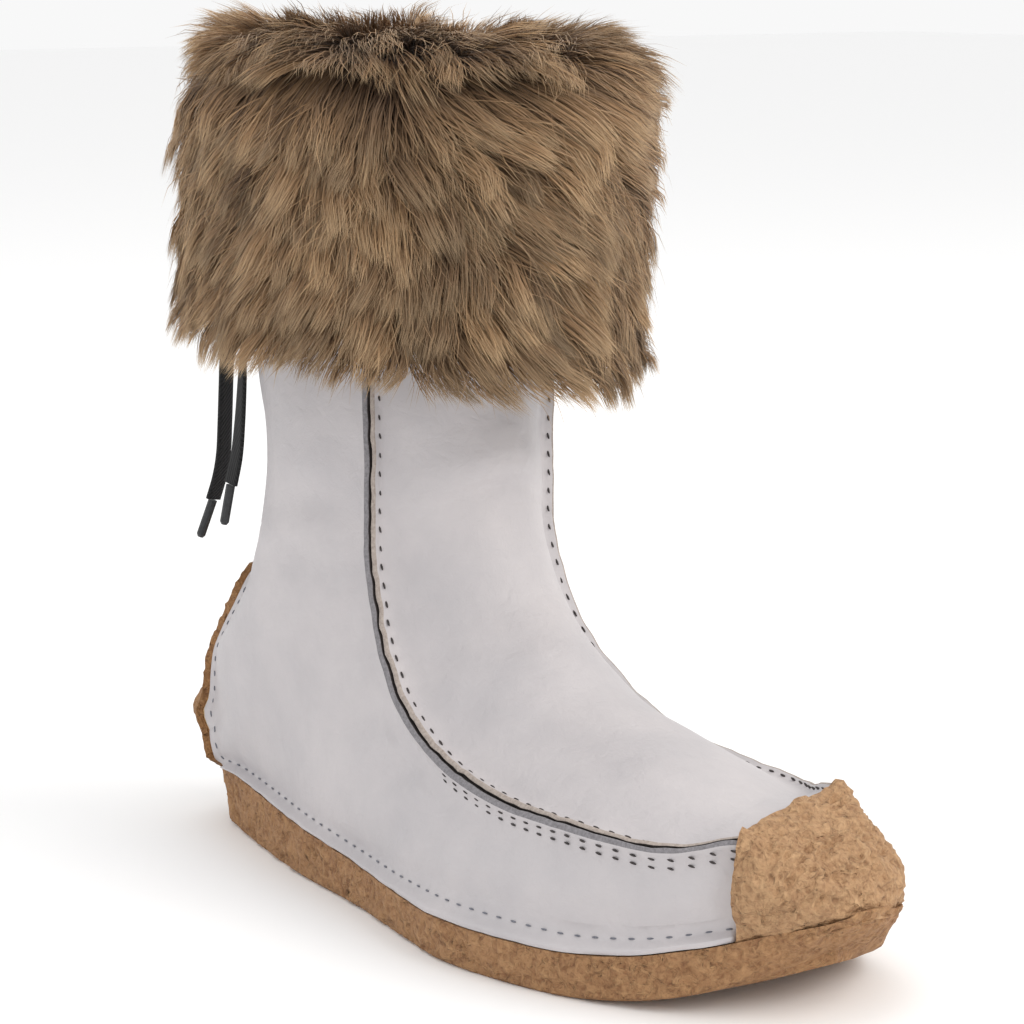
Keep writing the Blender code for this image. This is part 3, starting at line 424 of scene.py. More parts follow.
soleTable = namedColumns("turn fullness swing thick lift arch", (
    (0.00, 1.32, 0.00, 1.00, 0.00, 0.0),
    (0.12, 1.22, 0.00, 0.96, 0.00, 0.0),
    (0.20, 1.01, 0.01, 0.86, 0.00, 0.0),
    (0.28, 0.89, -0.01, 0.70, 0.00, 0.0),
    (0.37, 0.83, -0.07, 0.42, 0.00, 0.5),
    (0.44, 0.80, -0.12, 0.18, 0.00, 1.0),
    (0.51, 0.87, -0.16, 0.03, 0.00, 0.7),
    (0.57, 1.00, -0.15, 0.00, 0.00, 0.0),
    (0.62, 1.08, -0.095, 0.00, 0.00, 0.0),
    (0.68, 1.15, -0.02, 0.00, 0.00, 0.0),
    (0.74, 1.19, 0.05, 0.00, 0.11, 0.0),
    (0.80, 1.18, 0.10, 0.00, 0.33, 0.0),
    (0.87, 1.06, 0.13, -0.35, 0.64, 0.0),
    (1.00, 0.90, 0.13, -1.00, 1.00, 0.0),
))
footTable = namedColumns("turn seamAlong seamUp seamSide swing crown widest at twist", (
    (1.000, 0.980, 0.268, 0.000, 0.00, 0.000, 0.00, 0.45, 0.0),
    (0.965, 0.970, 0.297, 0.180, 0.00, 0.040, 0.22, 0.45, 0.2),
    (0.920, 0.954, 0.334, 0.305, 0.00, 0.050, 0.37, 0.45, 0.5),
    (0.875, 0.934, 0.366, 0.380, 0.00, 0.055, 0.49, 0.45, 0.8),
    (0.825, 0.907, 0.388, 0.430, 0.00, 0.060, 0.54, 0.42, 1.0),
    (0.790, 0.874, 0.373, 0.550, -0.03, 0.130, 0.66, 0.40, 0.9),
    (0.760, 0.845, 0.358, 0.645, -0.05, 0.210, 0.74, 0.40, 0.6),
    (0.680, 0.770, 0.350, 0.780, -0.02, 0.420, 0.90, 0.40, 0.0),
    (0.600, 0.667, 0.352, 0.805, 0.00, 0.610, 0.93, 0.42, 0.0),
    (0.520, 0.581, 0.383, 0.785, 0.00, 0.630, 0.88, 0.44, 0.0),
    (0.440, 0.517, 0.437, 0.750, 0.00, 0.550, 0.83, 0.46, 0.0),
    (0.360, 0.467, 0.508, 0.715, 0.00, 0.420, 0.80, 0.50, 0.0),
    (0.280, 0.434, 0.587, 0.680, 0.00, 0.312, 0.78, 0.54, 0.0),
    (0.200, 0.413, 0.662, 0.650, 0.00, 0.253, 0.775, 0.57, 0.0),
    (0.120, 0.401, 0.729, 0.630, 0.00, 0.228, 0.785, 0.60, 0.0),
    (0.060, 0.392, 0.787, 0.615, 0.00, 0.222, 0.795, 0.62, 0.0),
    (0.000, 0.387, 0.842, 0.610, 0.00, 0.218, 0.800, 0.63, 0.0),
))
shaftTable = namedColumns("backAlong backUp seamAlong seamUp seamSide crown widest at", (
    (-1.785, 0.038, 0.470, 0.040, 0.785, 0.215, 1.03, 0.63),
    (-1.770, 0.087, 0.470, 0.085, 0.785, 0.215, 1.03, 0.63),
    (-1.560, 0.145, 0.470, 0.135, 0.785, 0.220, 1.02, 0.63),
    (-1.350, 0.200, 0.470, 0.185, 0.785, 0.234, 1.00, 0.63),
    (-1.200, 0.253, 0.470, 0.235, 0.785, 0.258, 1.00, 0.62),
    (-1.085, 0.311, 0.470, 0.290, 0.790, 0.291, 1.00, 0.62),
    (-1.010, 0.389, 0.470, 0.360, 0.795, 0.306, 1.00, 0.62),
    (-1.000, 0.487, 0.480, 0.470, 0.800, 0.308, 1.01, 0.62),
    (-1.070, 0.609, 0.510, 0.610, 0.815, 0.295, 1.05, 0.62),
    (-1.090, 0.780, 0.580, 0.800, 0.850, 0.285, 1.11, 0.62),
    (-1.090, 1.000, 0.650, 1.000, 0.890, 0.275, 1.17, 0.62),
))
heelRow = len(footTable["turn"]) - 1
collarRow = heelRow + len(shaftTable["crown"])


def soleValue(name, turn):
    return smoothCurve(soleTable["turn"], soleTable[name], turn)


def turnAt(along):
    return np.arccos(np.clip(1 - 2 * np.asarray(along) / bootSizes["soleLength"], -1, 1)) / np.pi


def bottomUp(along, inward):
    turn = turnAt(along)
    lift = np.maximum(soleValue("lift", turn), 0)
    arch = np.maximum(soleValue("arch", turn), 0)
    return bootSizes["toeSpring"] * lift + bootSizes["archLift"] * arch * inward


def topUp(along):
    size, turn = bootSizes, turnAt(along)
    share = soleValue("thick", turn)
    heelStep = size["heelSole"] - size["ballSole"]
    toeStep = size["ballSole"] - size["toeSole"]
    lift = size["toeSpring"] * np.maximum(soleValue("lift", turn), 0)
    return lift + size["ballSole"] + share * np.where(share > 0, heelStep, toeStep)


def soleOutline(turn, hand, inset):
    # points (along, side) inside the outline of the sole's top, and the outward direction there
    turn = np.asarray(turn, float)

    def outline(t):
        half = halfBall * soleValue("fullness", t) * np.sin(np.pi * t)
        middle = halfBall * soleValue("swing", t) * np.minimum(1, 4 * t)
        along = bootSizes["soleLength"] * (1 - np.cos(np.pi * t)) / 2
        return np.stack([along, middle + hand * half], axis=-1)

    step = 0.004
    run = outline(np.minimum(turn + step, 1)) - outline(np.maximum(turn - step, 0))
    run = np.where((turn < step)[..., None], np.array([0.0, hand]), run)
    run = np.where((turn > 1 - step)[..., None], np.array([0.0, -hand]), run)
    outward = np.stack([-run[..., 1], run[..., 0]], axis=-1)
    outward = outward / np.linalg.norm(outward, axis=-1, keepdims=True) * hand
    return outline(turn) - outward * np.asarray(inset)[..., None], outward


def featherInset(turn):
    share = np.minimum(turn / bootSizes["insetEnd"], 1)
    full, heel = bootSizes["featherInset"], bootSizes["heelInset"]
    return heel + (full - heel) * share * share * (3 - 2 * share)


def sections(rows):
    # measures of the sections at these row numbers, each as a column of values
    size = bootSizes
    rows = np.atleast_1d(np.asarray(rows, float))
    everyRow = np.arange(collarRow + 1)
    heelUp = float(topUp(0.0)) + size["clearance"]
    heelSeam = size["instepHeight"] * footTable["seamUp"][-1]
    halfDepth = size["ankleDepth"] / 2
    onFoot = rows <= heelRow

    def joined(name, footSize, shaftSize, shaftStart=0.0):
        values = np.concatenate([footTable[name] * footSize, shaftStart + shaftTable[name] * shaftSize])
        return smoothCurve(everyRow, values, rows)[:, None]

    def onlyFoot(name):
        return smoothCurve(everyRow[:heelRow + 1], footTable[name], np.minimum(rows, heelRow))

    def onlyShaft(heel, name, start, span):
        values = np.concatenate([[heel], start + shaftTable[name] * span])
        return smoothCurve(everyRow[heelRow:], values, rows)

    def footOrShaft(foot, shaft):
        return np.where(onFoot, foot, shaft)[:, None]

    turn = onlyFoot("turn")
    edges = {hand: soleOutline(turn, hand, featherInset(turn))[0] for hand in (-1, 1)}
    shaftAlong = onlyShaft(size["heelInset"], "backAlong", size["ankleCentre"], halfDepth)
    shaftUp = onlyShaft(heelUp, "backUp", heelUp, size["collarHeight"] - heelUp)
    found = {
        "seamAlong": joined("seamAlong", size["soleLength"], halfDepth, size["ankleCentre"]),
        "seamUp": joined("seamUp", size["instepHeight"], size["collarHeight"] - heelSeam, heelSeam),
        "seamSide": joined("seamSide", halfBall, halfAnkle),
        "crown": joined("crown", 1.0, 1.0),
        "full": joined("widest", halfBall, halfAnkle),
        "at": joined("at", 1.0, 1.0),
        "swing": footOrShaft(halfBall * onlyFoot("swing"), 0.0),
        "twist": footOrShaft(onlyFoot("twist"), 0.0),
        "back": {hand: footOrShaft(edge[:, 0], shaftAlong) for hand, edge in edges.items()},
        "backUp": {hand: footOrShaft(topUp(edge[:, 0]) + size["clearance"], shaftUp)
                   for hand, edge in edges.items()},
        "base": footOrShaft(np.maximum((edges[1][:, 1] - edges[-1][:, 1]) / 2, 0), 0.0),
        "middle": footOrShaft((edges[1][:, 1] + edges[-1][:, 1]) / 2, 0.0),
    }
    found["full"] = np.maximum(found["full"], found["base"] * 1.01)
    return found


heelShape = {
    "centre": 0.030, "from": 0.030, "fullBelow": 0.004,
    "cornerSides": (0.008, 0.023),
    # height above the floor and how far the skin moves out there, at the corners and in the middle
    "moves": ((0.020, 0.0060, 0.0010), (0.028, 0.0066, -0.0062), (0.034, 0.0036, -0.0075),
              (0.040, -0.0012, -0.0070), (0.0465, -0.0032, -0.0052), (0.0526, -0.0036, -0.0036),
              (0.0588, -0.0022, -0.0020), (0.0660, -0.0004, -0.0004), (0.0750, 0.0, 0.0)),
}


def heelBulge(place):
    # the counter stands out over the sole's back edge, most where it meets the sole
    look = heelShape
    away = place[..., :2] - np.array([look["centre"], 0.0])
    away = away / np.maximum(np.linalg.norm(away, axis=-1, keepdims=True), 1e-9)
    behind = np.clip((look["from"] - place[..., 0]) / (look["from"] - look["fullBelow"]), 0, 1)
    moves = np.array(look["moves"])
    corner = ramp(np.abs(place[..., 1]), *look["cornerSides"])
    atCorner, atMiddle = (smoothCurve(moves[:, 0], moves[:, column], place[..., 2]) for column in (1, 2))
    amount = behind**1.5 * (atMiddle + (atCorner - atMiddle) * corner)
    place[..., :2] += away * amount[..., None]
    return place


def skin(found, hand, turn):
    # places on the smooth upper; turn is -1 at the sole or back, 0 widest, 1 at the seam, 2 on top
    turn = np.asarray(turn, float)
    full, at, seamSide = found["full"], found["at"], found["seamSide"]
    start = np.where(full > 0, np.arcsin(np.clip(found["base"] / np.maximum(full, 1e-9), 0, 1)), np.pi / 2)
    angle = start + (np.pi / 2 - start) * (1 + turn)
    steep = np.cos(start)
    curved = at * (steep - np.cos(angle)) / np.maximum(steep, 1e-9)
    lowHigh = np.where(steep > 0.02, curved, at * (1 + turn))
    wide = np.where(turn <= 0, full * np.sin(angle),
                    np.where(turn <= 1, full + (seamSide - full) * turn**2, seamSide * (2 - turn)))
    high = np.where(turn <= 0, lowHigh,
                    np.where(turn <= 1, at + (1 - at) * turn, 1 + found["crown"] * (1 - (2 - turn) ** 2)))
    along = found["back"][hand] + (found["seamAlong"] - found["back"][hand]) * high
    up = found["backUp"][hand] + (found["seamUp"] - found["backUp"][hand]) * high
    low = np.maximum(0, 1 - high)
    side = found["middle"] * low + found["swing"] * (1 - low) + hand * wide
    twist = found["twist"] * side * (1 - low)
    return heelBulge(np.stack(np.broadcast_arrays(
        along - bootSizes["toeTurn"] * twist, side, up + bootSizes["toeRoll"] * twist), axis=-1))


def unit(vectors):
    return vectors / np.maximum(np.linalg.norm(vectors, axis=-1, keepdims=True), 1e-12)


def skinNormal(rows, hand, turn):
    rows = np.asarray(rows, float)
    turn = np.asarray(turn, float) + np.zeros((len(rows), 1))
    rowStep, turnStep, firstRow = 0.05, 0.02, 0.02
    low = sections(np.maximum(rows - rowStep, firstRow))
    high = sections(np.minimum(rows + rowStep, collarRow))
    here = sections(np.maximum(rows, firstRow))
    alongRows = skin(high, hand, turn) - skin(low, hand, turn)
    above = skin(here, hand, np.minimum(turn + turnStep, 2))
    across = above - skin(here, hand, np.maximum(turn - turnStep, -1))
    normal = np.cross(alongRows, across) * hand
    flat = (turn >= 2) | ((turn <= -1) & (rows[:, None] >= heelRow))
    normal[..., 1] = np.where(flat, 0.0, normal[..., 1])
    normal = np.where((rows < 0.01)[:, None, None], np.array([1.0, 0.0, 0.0]), normal)
    return unit(normal)


def flatOut(rows, hand):
    out = skinNormal(rows, hand, np.full((len(rows), 1), -1.0))
    out[..., 2] = 0
    return unit(out)


def findRow(low, high, measure, wanted):
    for _ in range(30):
        middle = (low + high) / 2
        if measure(middle) > wanted:
            low = middle
        else:
            high = middle
    return (low + high) / 2


bumperRow = findRow(1.0, 8.0, lambda row: sections(row)["seamAlong"][0, 0], bootSizes["bumperStart"])
stripRow = findRow(heelRow - 4.0, heelRow, lambda row: sections(row)["base"][0, 0],
                   bootSizes["stripWidth"] / 2)
stripTopRow = findRow(heelRow, collarRow, lambda row: -sections(row)["backUp"][1][0, 0],
                      -bootSizes["stripHeight"])


def stripHalf(up):
    # half width of the heel strip at a height
    size = bootSizes
    left = np.maximum(size["stripHeight"] - up, 0) / (size["stripWidth"] * size["stripRound"])
    share = np.maximum(up - size["heelSole"], 0) / (size["stripHeight"] - size["heelSole"])
    wide = size["stripWidth"] / 2 * (1 - size["stripTaper"] * share)
    return wide * np.sqrt(np.maximum(0, 1 - np.maximum(0, 1 - left) ** 2))


def stripTurns(rows, found, hand):
    # turn at which each section leaves the heel strip, -1 where it doesn't meet it
    low = np.full((len(rows), 1), -1.0)
    high = np.full((len(rows), 1), -0.05)
    for _ in range(24):
        middle = (low + high) / 2
        place = skin(found, hand, middle)
        under = np.abs(place[..., 1]) < stripHalf(place[..., 2])
        low = np.where(under, middle, low)
        high = np.where(under, high, middle)
    inside = (rows >= stripRow) & (rows <= stripTopRow)
    return np.where(inside[:, None], low, -1.0)


def turnsFromEdge(found, hand, edge, distances):
    # turns that lie at these distances from the edge turn, along the section
    samples = np.linspace(0, 1, 41)[None, :]
    turns = edge + (0.5 - edge) * samples
    places = skin(found, hand, turns)
    steps = np.linalg.norm(np.diff(places, axis=1), axis=-1)
    run = np.concatenate([np.zeros((len(steps), 1)), np.cumsum(steps, axis=1)], axis=1)
    return np.stack([np.interp(distances, run[i], turns[i]) for i in range(len(turns))])


# Upper: one leather shell with standing seams, a stitched margin and a rim beside the heel strip

upperLook = {
    "wall": 0.0020, "marginWidth": 0.0045, "rimStand": 0.0017,
    "bodyColumns": 26, "crownColumns": 12,
    "bottomShares": (0.0, 0.35, 0.7),   # places of the columns below the margin
    "seamFade": (0.175, 0.205), "seamSpread": 1.2, "seamStep": 0.05,
    # rows before and after the strip's first row in which the margin turns into the rim
    "rimFade": (0.06, 0.25),
    "panelWave": 0.25,   # share of the vamp edge's rise and fall that the side panel has
    # inward: mm from the edge; stand: share of the margin's width or the rim's stand
    "edgeProfile": (
        (0.0, 0.90), (0.05, 0.98), (0.5, 1.00), (1.1, 1.00), (1.55, 0.95), (2.0, 0.80), (2.5, 0.60),
        (3.0, 0.41), (3.5, 0.25), (3.9, 0.17), (4.5, 0.11), (5.4, 0.04), (7.0, 0.00)),
    # across: mm from the gap, negative on the side panel; stand: mm off the skin
    "seamProfile": (
        (-8.0, 0.00), (-6.6, 0.05), (-5.4, 0.17), (-4.4, 0.40), (-3.6, 0.80), (-3.0, 1.35), (-2.55, 2.15),
        (-2.25, 3.05), (-2.05, 3.75), (-1.85, 4.08), (-1.50, 4.20), (-1.0, 4.22), (-0.60, 4.16),
        (-0.36, 3.90), (-0.26, 3.0), (-0.18, 2.2), (0.14, 2.2), (0.22, 3.0), (0.32, 3.66), (0.55, 3.86),
        (0.95, 3.90), (1.30, 3.80), (1.50, 3.45), (1.68, 2.80), (1.95, 2.05), (2.4, 1.35), (3.0, 0.80),
        (3.8, 0.40), (4.8, 0.15), (6.0, 0.04), (7.5, 0.00)),
    # the columns between the grey and the beige cut edge carry the painted shadow of the gap between the
    # flanges
    "greyEdge": (9, 13), "gapPaintedShadow": (13, 18), "beigeEdge": (18, 22),   # profile columns of the cut edges
    "vampEdgeMm": (0.2, 2.2), "standingMm": 1.5, "rimColumns": (2, 6),
    "leastPerTurn": (0.0205, 0.0190), "softAtSeam": 0.15, "softRows": 0.5,
    # soft troughs: side, start and end as (along, up), half width and depth in metres
    "creases": (
        (-1, (0.150, 0.062), (0.118, 0.036), 0.0055, 0.00110),
        (-1, (0.128, 0.074), (0.098, 0.047), 0.0050, 0.00100),
        (-1, (0.108, 0.092), (0.083, 0.070), 0.0055, 0.00085),
        (-1, (0.060, 0.105), (0.100, 0.112), 0.0060, 0.00085),
        (-1, (0.055, 0.088), (0.090, 0.094), 0.0055, 0.00085),
        (-1, (0.150, 0.040), (0.128, 0.028), 0.0045, 0.00070),
        (1, (0.060, 0.100), (0.100, 0.108), 0.0060, 0.00085),
        (1, (0.120, 0.070), (0.095, 0.045), 0.0055, 0.00090),
        (1, (0.150, 0.050), (0.128, 0.030), 0.0050, 0.00075),
    ),
    # smooth random fields, each with the size of its features in metres, its seed and its amount
    "faceWaves": ((0.045, 21, 0.00035), (0.016, 22, 0.00012)), "marginWaves": ((0.013, 3, 0.05),),
    "heightWaves": ((0.0075, 11, 0.16), (0.021, 12, 0.14)),   # mm by which the vamp's edge rises and falls
    "seamWaver": ((0.0068, 13, 0.00020),), "vampWaver": ((0.0052, 14, 0.00012),),
}


def upperRowList():
    rows = [np.linspace(0, 3.4, 9), np.arange(3.5, heelRow, 0.125), np.arange(heelRow, collarRow + 0.01, 0.2)]
    rows.append([bumperRow - 0.1, bumperRow, bumperRow + 0.06])
    rows.append(stripRow + np.array([-0.12, -0.05, 0.0, 0.05, 0.12]))
    rows = np.sort(np.concatenate(rows))
    keep = np.concatenate([[True], np.diff(rows) > 0.015])
    return rows[keep]


def creaseDepths(places, hand):
    total = np.zeros(places.shape[:-1])
    flat = places[..., [0, 2]]
    for side, start, end, half, depth in upperLook["creases"]:
        if side != hand:
            continue
        start, end = np.array(start), np.array(end)
        run = end - start
        part = np.clip(((flat - start) @ run) / (run @ run), 0, 1)
        bow = np.sin(np.pi * part)[..., None] * np.array([-run[1], run[0]]) * 0.08
        away = np.linalg.norm(flat - (start + part[..., None] * run + bow), axis=-1)
        fade = 0.35 + 0.65 * np.sin(np.pi * np.clip(part, 0.02, 0.98))
        total -= depth * fade * np.exp(-(away / half) ** 2)
        total += depth * 0.55 * fade * np.exp(-((away - half * 1.7) / half) ** 2)
    return total


def rimShare(rows):
    before, after = upperLook["rimFade"]
    return ramp(rows, stripRow - before, stripRow + after)[:, None]


def besideSeam(found, hand, seam, step):
    # the places that lie step turns beside the seam, and how many metres one turn has there
    other = skin(found, hand, np.full((len(seam), 1), 1.0 + step))
    return other, np.linalg.norm(other - seam, axis=-1) / abs(step)


def upperSide(rows, hand):
    look = upperLook
    found = sections(rows)
    edge = stripTurns(rows, found, hand)
    rim = rimShare(rows)
    profile = np.array(look["edgeProfile"])
    margin = 0.3 + 0.7 * ramp(rows, bumperRow - 0.12, bumperRow + 0.04)[:, None]
    overStrip = 1 - ramp(rows, stripTopRow - 0.25, stripTopRow)[:, None]
    out = flatOut(rows, hand)
    beyond = rows[:, None] > stripRow

    # bottom of the margin, or the leather that runs on under the heel strip
    shares = np.array([look["bottomShares"]])
    under = -1 + (edge + 1) * shares
    spread = shares * look["marginWidth"] * margin * (1 - rim)
    bottom = skin(found, hand, under) + out * spread[..., None]

    # margin and rim
    turns = turnsFromEdge(found, hand, edge, profile[:, 0] / 1000)
    place = skin(found, hand, turns)
    normal = skinNormal(rows, hand, turns)
    away = unit(out * (1 - rim[..., None]) + normal * rim[..., None])
    ragged = addWaves(1, skin(found, hand, edge), look["marginWaves"])
    stand = profile[None, :, 1] * (look["marginWidth"] * margin * (1 - rim) * ragged + look["rimStand"] * rim)
    border = place + away * (stand * overStrip)[..., None]
    baseAlong = found["back"][hand]
    for part in (bottom, border):
        part[..., 2] += (topUp(part[..., 0]) - topUp(baseAlong)) * (1 - rim) * (part[..., 0] > 0)

    # side panel
    seam = skin(found, hand, np.ones((len(rows), 1)))
    perTurnBelow = besideSeam(found, hand, seam, -look["seamStep"])[1]
    perTurnAbove = besideSeam(found, hand, seam, look["seamStep"])[1]
    profileSeam = np.array(look["seamProfile"])
    fromGap, high = profileSeam[None, :, 0], profileSeam[None, :, 1]
    vampStart, vampEnd = look["vampEdgeMm"]
    waver = addWaves(0, seam, look["seamWaver"])
    onEdge = np.exp(-((fromGap - 0.3) / 1.8) ** 2)
    ownWave = np.where(fromGap > vampStart, addWaves(0, seam, look["vampWaver"]), 0.0)
    across = fromGap / 1000 * look["seamSpread"] + (waver + ownWave) * onEdge
    # where the sections shrink at the toe, the profile narrows with them
    leastBelow, leastAbove = look["leastPerTurn"]
    seamTurns = 1 + np.where(across < 0, across / np.maximum(perTurnBelow, leastBelow),
                             across / np.maximum(perTurnAbove, leastAbove))
    share = (np.arange(look["bodyColumns"]) + 1) / (look["bodyColumns"] + 1)
    bodyTurns = turns[:, -1:] + (seamTurns[:, :1] - turns[:, -1:]) * share[None, :]

    # crown, from the seam to the middle of the vamp
    share = (np.arange(look["crownColumns"]) + 1) / look["crownColumns"]
    crownTurns = seamTurns[:, -1:] + (2 - seamTurns[:, -1:]) * share[None, :]

    allTurns = np.concatenate([bodyTurns, seamTurns, crownTurns], axis=1)
    place = skin(found, hand, allTurns)
    normal = skinNormal(rows, hand, allTurns)
    seamOut = skinNormal(rows, hand, np.ones((len(rows), 1)))
    seamShare = ramp(rows, bumperRow - 0.3, bumperRow - 0.05)[:, None]
    fadeLow, fadeHigh = look["seamFade"]
    seamShare = seamShare * np.clip((fadeHigh - seam[..., 2]) / (fadeHigh - fadeLow), 0, 1)
    wave = addWaves(0, seam, look["heightWaves"])
    onVamp = (fromGap > vampStart) & (fromGap < vampEnd)
    heights = high + np.where(onVamp, wave, wave * look["panelWave"]) * (high > look["standingMm"])
    inSeam = slice(look["bodyColumns"], look["bodyColumns"] + len(profileSeam))
    stand = np.zeros(allTurns.shape)
    stand[:, inSeam] = heights / 1000 * seamShare
    waves = addWaves(0, place, look["faceWaves"])
    farFromSeam = np.ones(allTurns.shape)
    farFromSeam[:, inSeam] = look["softAtSeam"]
    soft = creaseDepths(place, hand) * farFromSeam + waves
    soft = soft * ramp(rows, bumperRow, bumperRow + look["softRows"])[:, None]
    body = place + normal * soft[..., None] + seamOut * stand[..., None]

    outside = np.concatenate([bottom, border, body], axis=1)
    innerTurns = np.concatenate([np.where(beyond, under, -1.0), turns, allTurns], axis=1)
    inward = skinNormal(rows, hand, innerTurns)
    base = len(look["bottomShares"])
    inward[:, :base] = np.where(beyond[..., None], inward[:, :base], out)
    inside = skin(found, hand, innerTurns) - inward * look["wall"]
    footBase = ~beyond[:, 0]
    inside[footBase, :base, 2] = skin(found, hand, np.full((len(rows), 1), -1.0))[footBase, :, 2]
    return outside, inside


def joinSides(outerSide, innerSide):
    return np.concatenate([outerSide, innerSide[:, ::-1][:, 1:]], axis=1)


def makeUpper():
    rows = upperRowList()
    outside, inside = (joinSides(*skins) for skins in zip(upperSide(rows, -1), upperSide(rows, 1)))
    # above the heel's end both sides share the middle line of the back, so no rim is left there
    heel = int(np.searchsorted(rows, heelRow - 0.001)) + 1
    points, groups = shellGrid(outside, inside, lambda ids: (ids[:heel, 0], ids[:heel, -1], ids[-1]))
    outerCount, perLine = len(groups[0]), outside.shape[1] - 1
    column = np.arange(outerCount) % perLine
    column = np.minimum(column, perLine - 1 - column)
    row = rows[np.arange(outerCount) // perLine]
    firstSeam = len(upperLook["bottomShares"]) + len(upperLook["edgeProfile"]) + upperLook["bodyColumns"]
    finish = np.zeros(sum(len(group) for group in groups), int)
    # finish 2 is the painted shadow in the gap between the standing flanges
    for index, name in ((1, "greyEdge"), (2, "gapPaintedShadow"), (3, "beigeEdge")):
        low, high = (firstSeam + k for k in upperLook[name])
        finish[:outerCount][(column >= low) & (column < high) & (row > bumperRow - 0.2)] = index
    low, high = upperLook["rimColumns"]
    finish[:outerCount][(column >= low) & (column < high) & (row >= stripRow) & (row < stripTopRow)] = 4
    piece = solidPiece("leather_upper", points, groups, [finishes[name] for name in (
        "leather", "sideEdge", "gap", "vampEdge", "rimEdge")], finish)
    fitPiece(piece, "upper")


makeUpper()
print("mukluk boot: upper")


# Stitches, set along paths by Geometry Nodes

stitchSizes = {
    "seam": {"pitch": 0.0053, "length": 0.0023, "width": 0.00070, "height": 0.0006},
    "margin": {"pitch": 0.0052, "length": 0.0020, "width": 0.00055, "height": 0.0005},
    "segments": 8, "rings": 5,
    # rows beside the gap: distance from it, height, and the row of sections where they end
    "seamRows": ((-0.00236, 0.0029, 9.2), (-0.0033, 0.0012, 9.2), (0.00205, 0.0021, 24.6)),
    # the margin's row: distance from its edge, height there and on the rim beside the heel strip
    "marginRow": (0.0041, (0.00085, 0.00040)),
}


def stitchTree():
    tree = bpy.data.node_groups.new("stitchesAlongPath", "GeometryNodeTree")
    face = tree.interface
    face.new_socket("Path", in_out="INPUT", socket_type="NodeSocketGeometry")
    for name in ("Pitch", "Length", "Width", "Height"):
        face.new_socket(name, in_out="INPUT", socket_type="NodeSocketFloat")
    face.new_socket("Thread", in_out="INPUT", socket_type="NodeSocketMaterial")
    face.new_socket("Stitches", in_out="OUTPUT", socket_type="NodeSocketGeometry")
    given = addNode(tree, "NodeGroupInput").outputs
    curve = addNode(tree, "GeometryNodeMeshToCurve", {"Mesh": given["Path"]})
    spaced = addNode(tree, "GeometryNodeResampleCurve", {
        "Curve": curve.outputs["Curve"], "Length": given["Pitch"]}, mode="LENGTH")
    bead = addNode(tree, "GeometryNodeMeshUVSphere", {
        "Segments": stitchSizes["segments"], "Rings": stitchSizes["rings"], "Radius": 0.5})
    outward = addNode(tree, "GeometryNodeInputNamedAttribute", {"Name": "outward"}, data_type="FLOAT_VECTOR")
    tangent = addNode(tree, "GeometryNodeInputTangent")
    turned = addNode(tree, "FunctionNodeAxesToRotation", {
        "Primary Axis": outward.outputs["Attribute"], "Secondary Axis": tangent.outputs["Tangent"]},
        primary_axis="Z", secondary_axis="X")
    size = addNode(tree, "ShaderNodeCombineXYZ", {
        "X": given["Length"], "Y": given["Width"], "Z": given["Height"]})
    placed = addNode(tree, "GeometryNodeInstanceOnPoints", {
        "Points": spaced.outputs["Curve"], "Instance": bead.outputs["Mesh"],
        "Rotation": turned.outputs["Rotation"], "Scale": size.outputs["Vector"]})
    real = addNode(tree, "GeometryNodeRealizeInstances", {"Geometry": placed.outputs["Instances"]})
    smooth = addNode(tree, "GeometryNodeSetShadeSmooth", {"Geometry": real.outputs["Geometry"]})
    coloured = addNode(tree, "GeometryNodeSetMaterial", {
        "Geometry": smooth.outputs["Geometry"], "Material": given["Thread"]})
    addNode(tree, "NodeGroupOutput", {"Stitches": coloured.outputs["Geometry"]})
    return tree


def bakeStitches(name, tree, paths, sizes, thread):
    # paths: pairs of places and outward directions, one pair for each row of stitches
    edges = []
    start = 0
    for path, _ in paths:
        edges += [(start + i, start + i + 1) for i in range(len(path) - 1)]
        start += len(path)
    mesh = bpy.data.meshes.new(name + "_path")
    mesh.from_pydata(np.concatenate([toWorld(path) for path, _ in paths]).tolist(), edges, [])
    storeVectors(mesh, "outward", np.concatenate([worldWay(way) for _, way in paths]))
    path = addObject(name + "_path", mesh)
    modifier = path.modifiers.new("stitches", "NODES")
    modifier.node_group = tree
    values = {**{key.capitalize(): size for key, size in sizes.items()}, "Thread": thread}
    for item in tree.interface.items_tree:
        if item.in_out == "INPUT" and item.name in values:
            modifier[item.identifier] = values[item.name]
    evaluated = path.evaluated_get(bpy.context.evaluated_depsgraph_get())
    plain = bpy.data.meshes.new_from_object(evaluated)
    plain.name = name
    bpy.data.objects.remove(path)
    fitPiece(addObject(name, plain), None)


def seamPath(rows, hand, across, stand):
    found = sections(rows)
    one = np.ones((len(rows), 1))
    seam = skin(found, hand, one)
    other, perTurn = besideSeam(found, hand, seam, math.copysign(upperLook["seamStep"], across))
    place = skin(found, hand, 1 + across * upperLook["seamSpread"] / perTurn)[:, 0]
    out = skinNormal(rows, hand, one)[:, 0]
    way = unit((other - seam)[:, 0])
    wave = addWaves(0, seam, upperLook["heightWaves"]) / 1000
    ride = wave * (1.0 if across > 0 else upperLook["panelWave"])
    return place + out * (stand + ride), unit(way * 0.9 + out * 0.45)


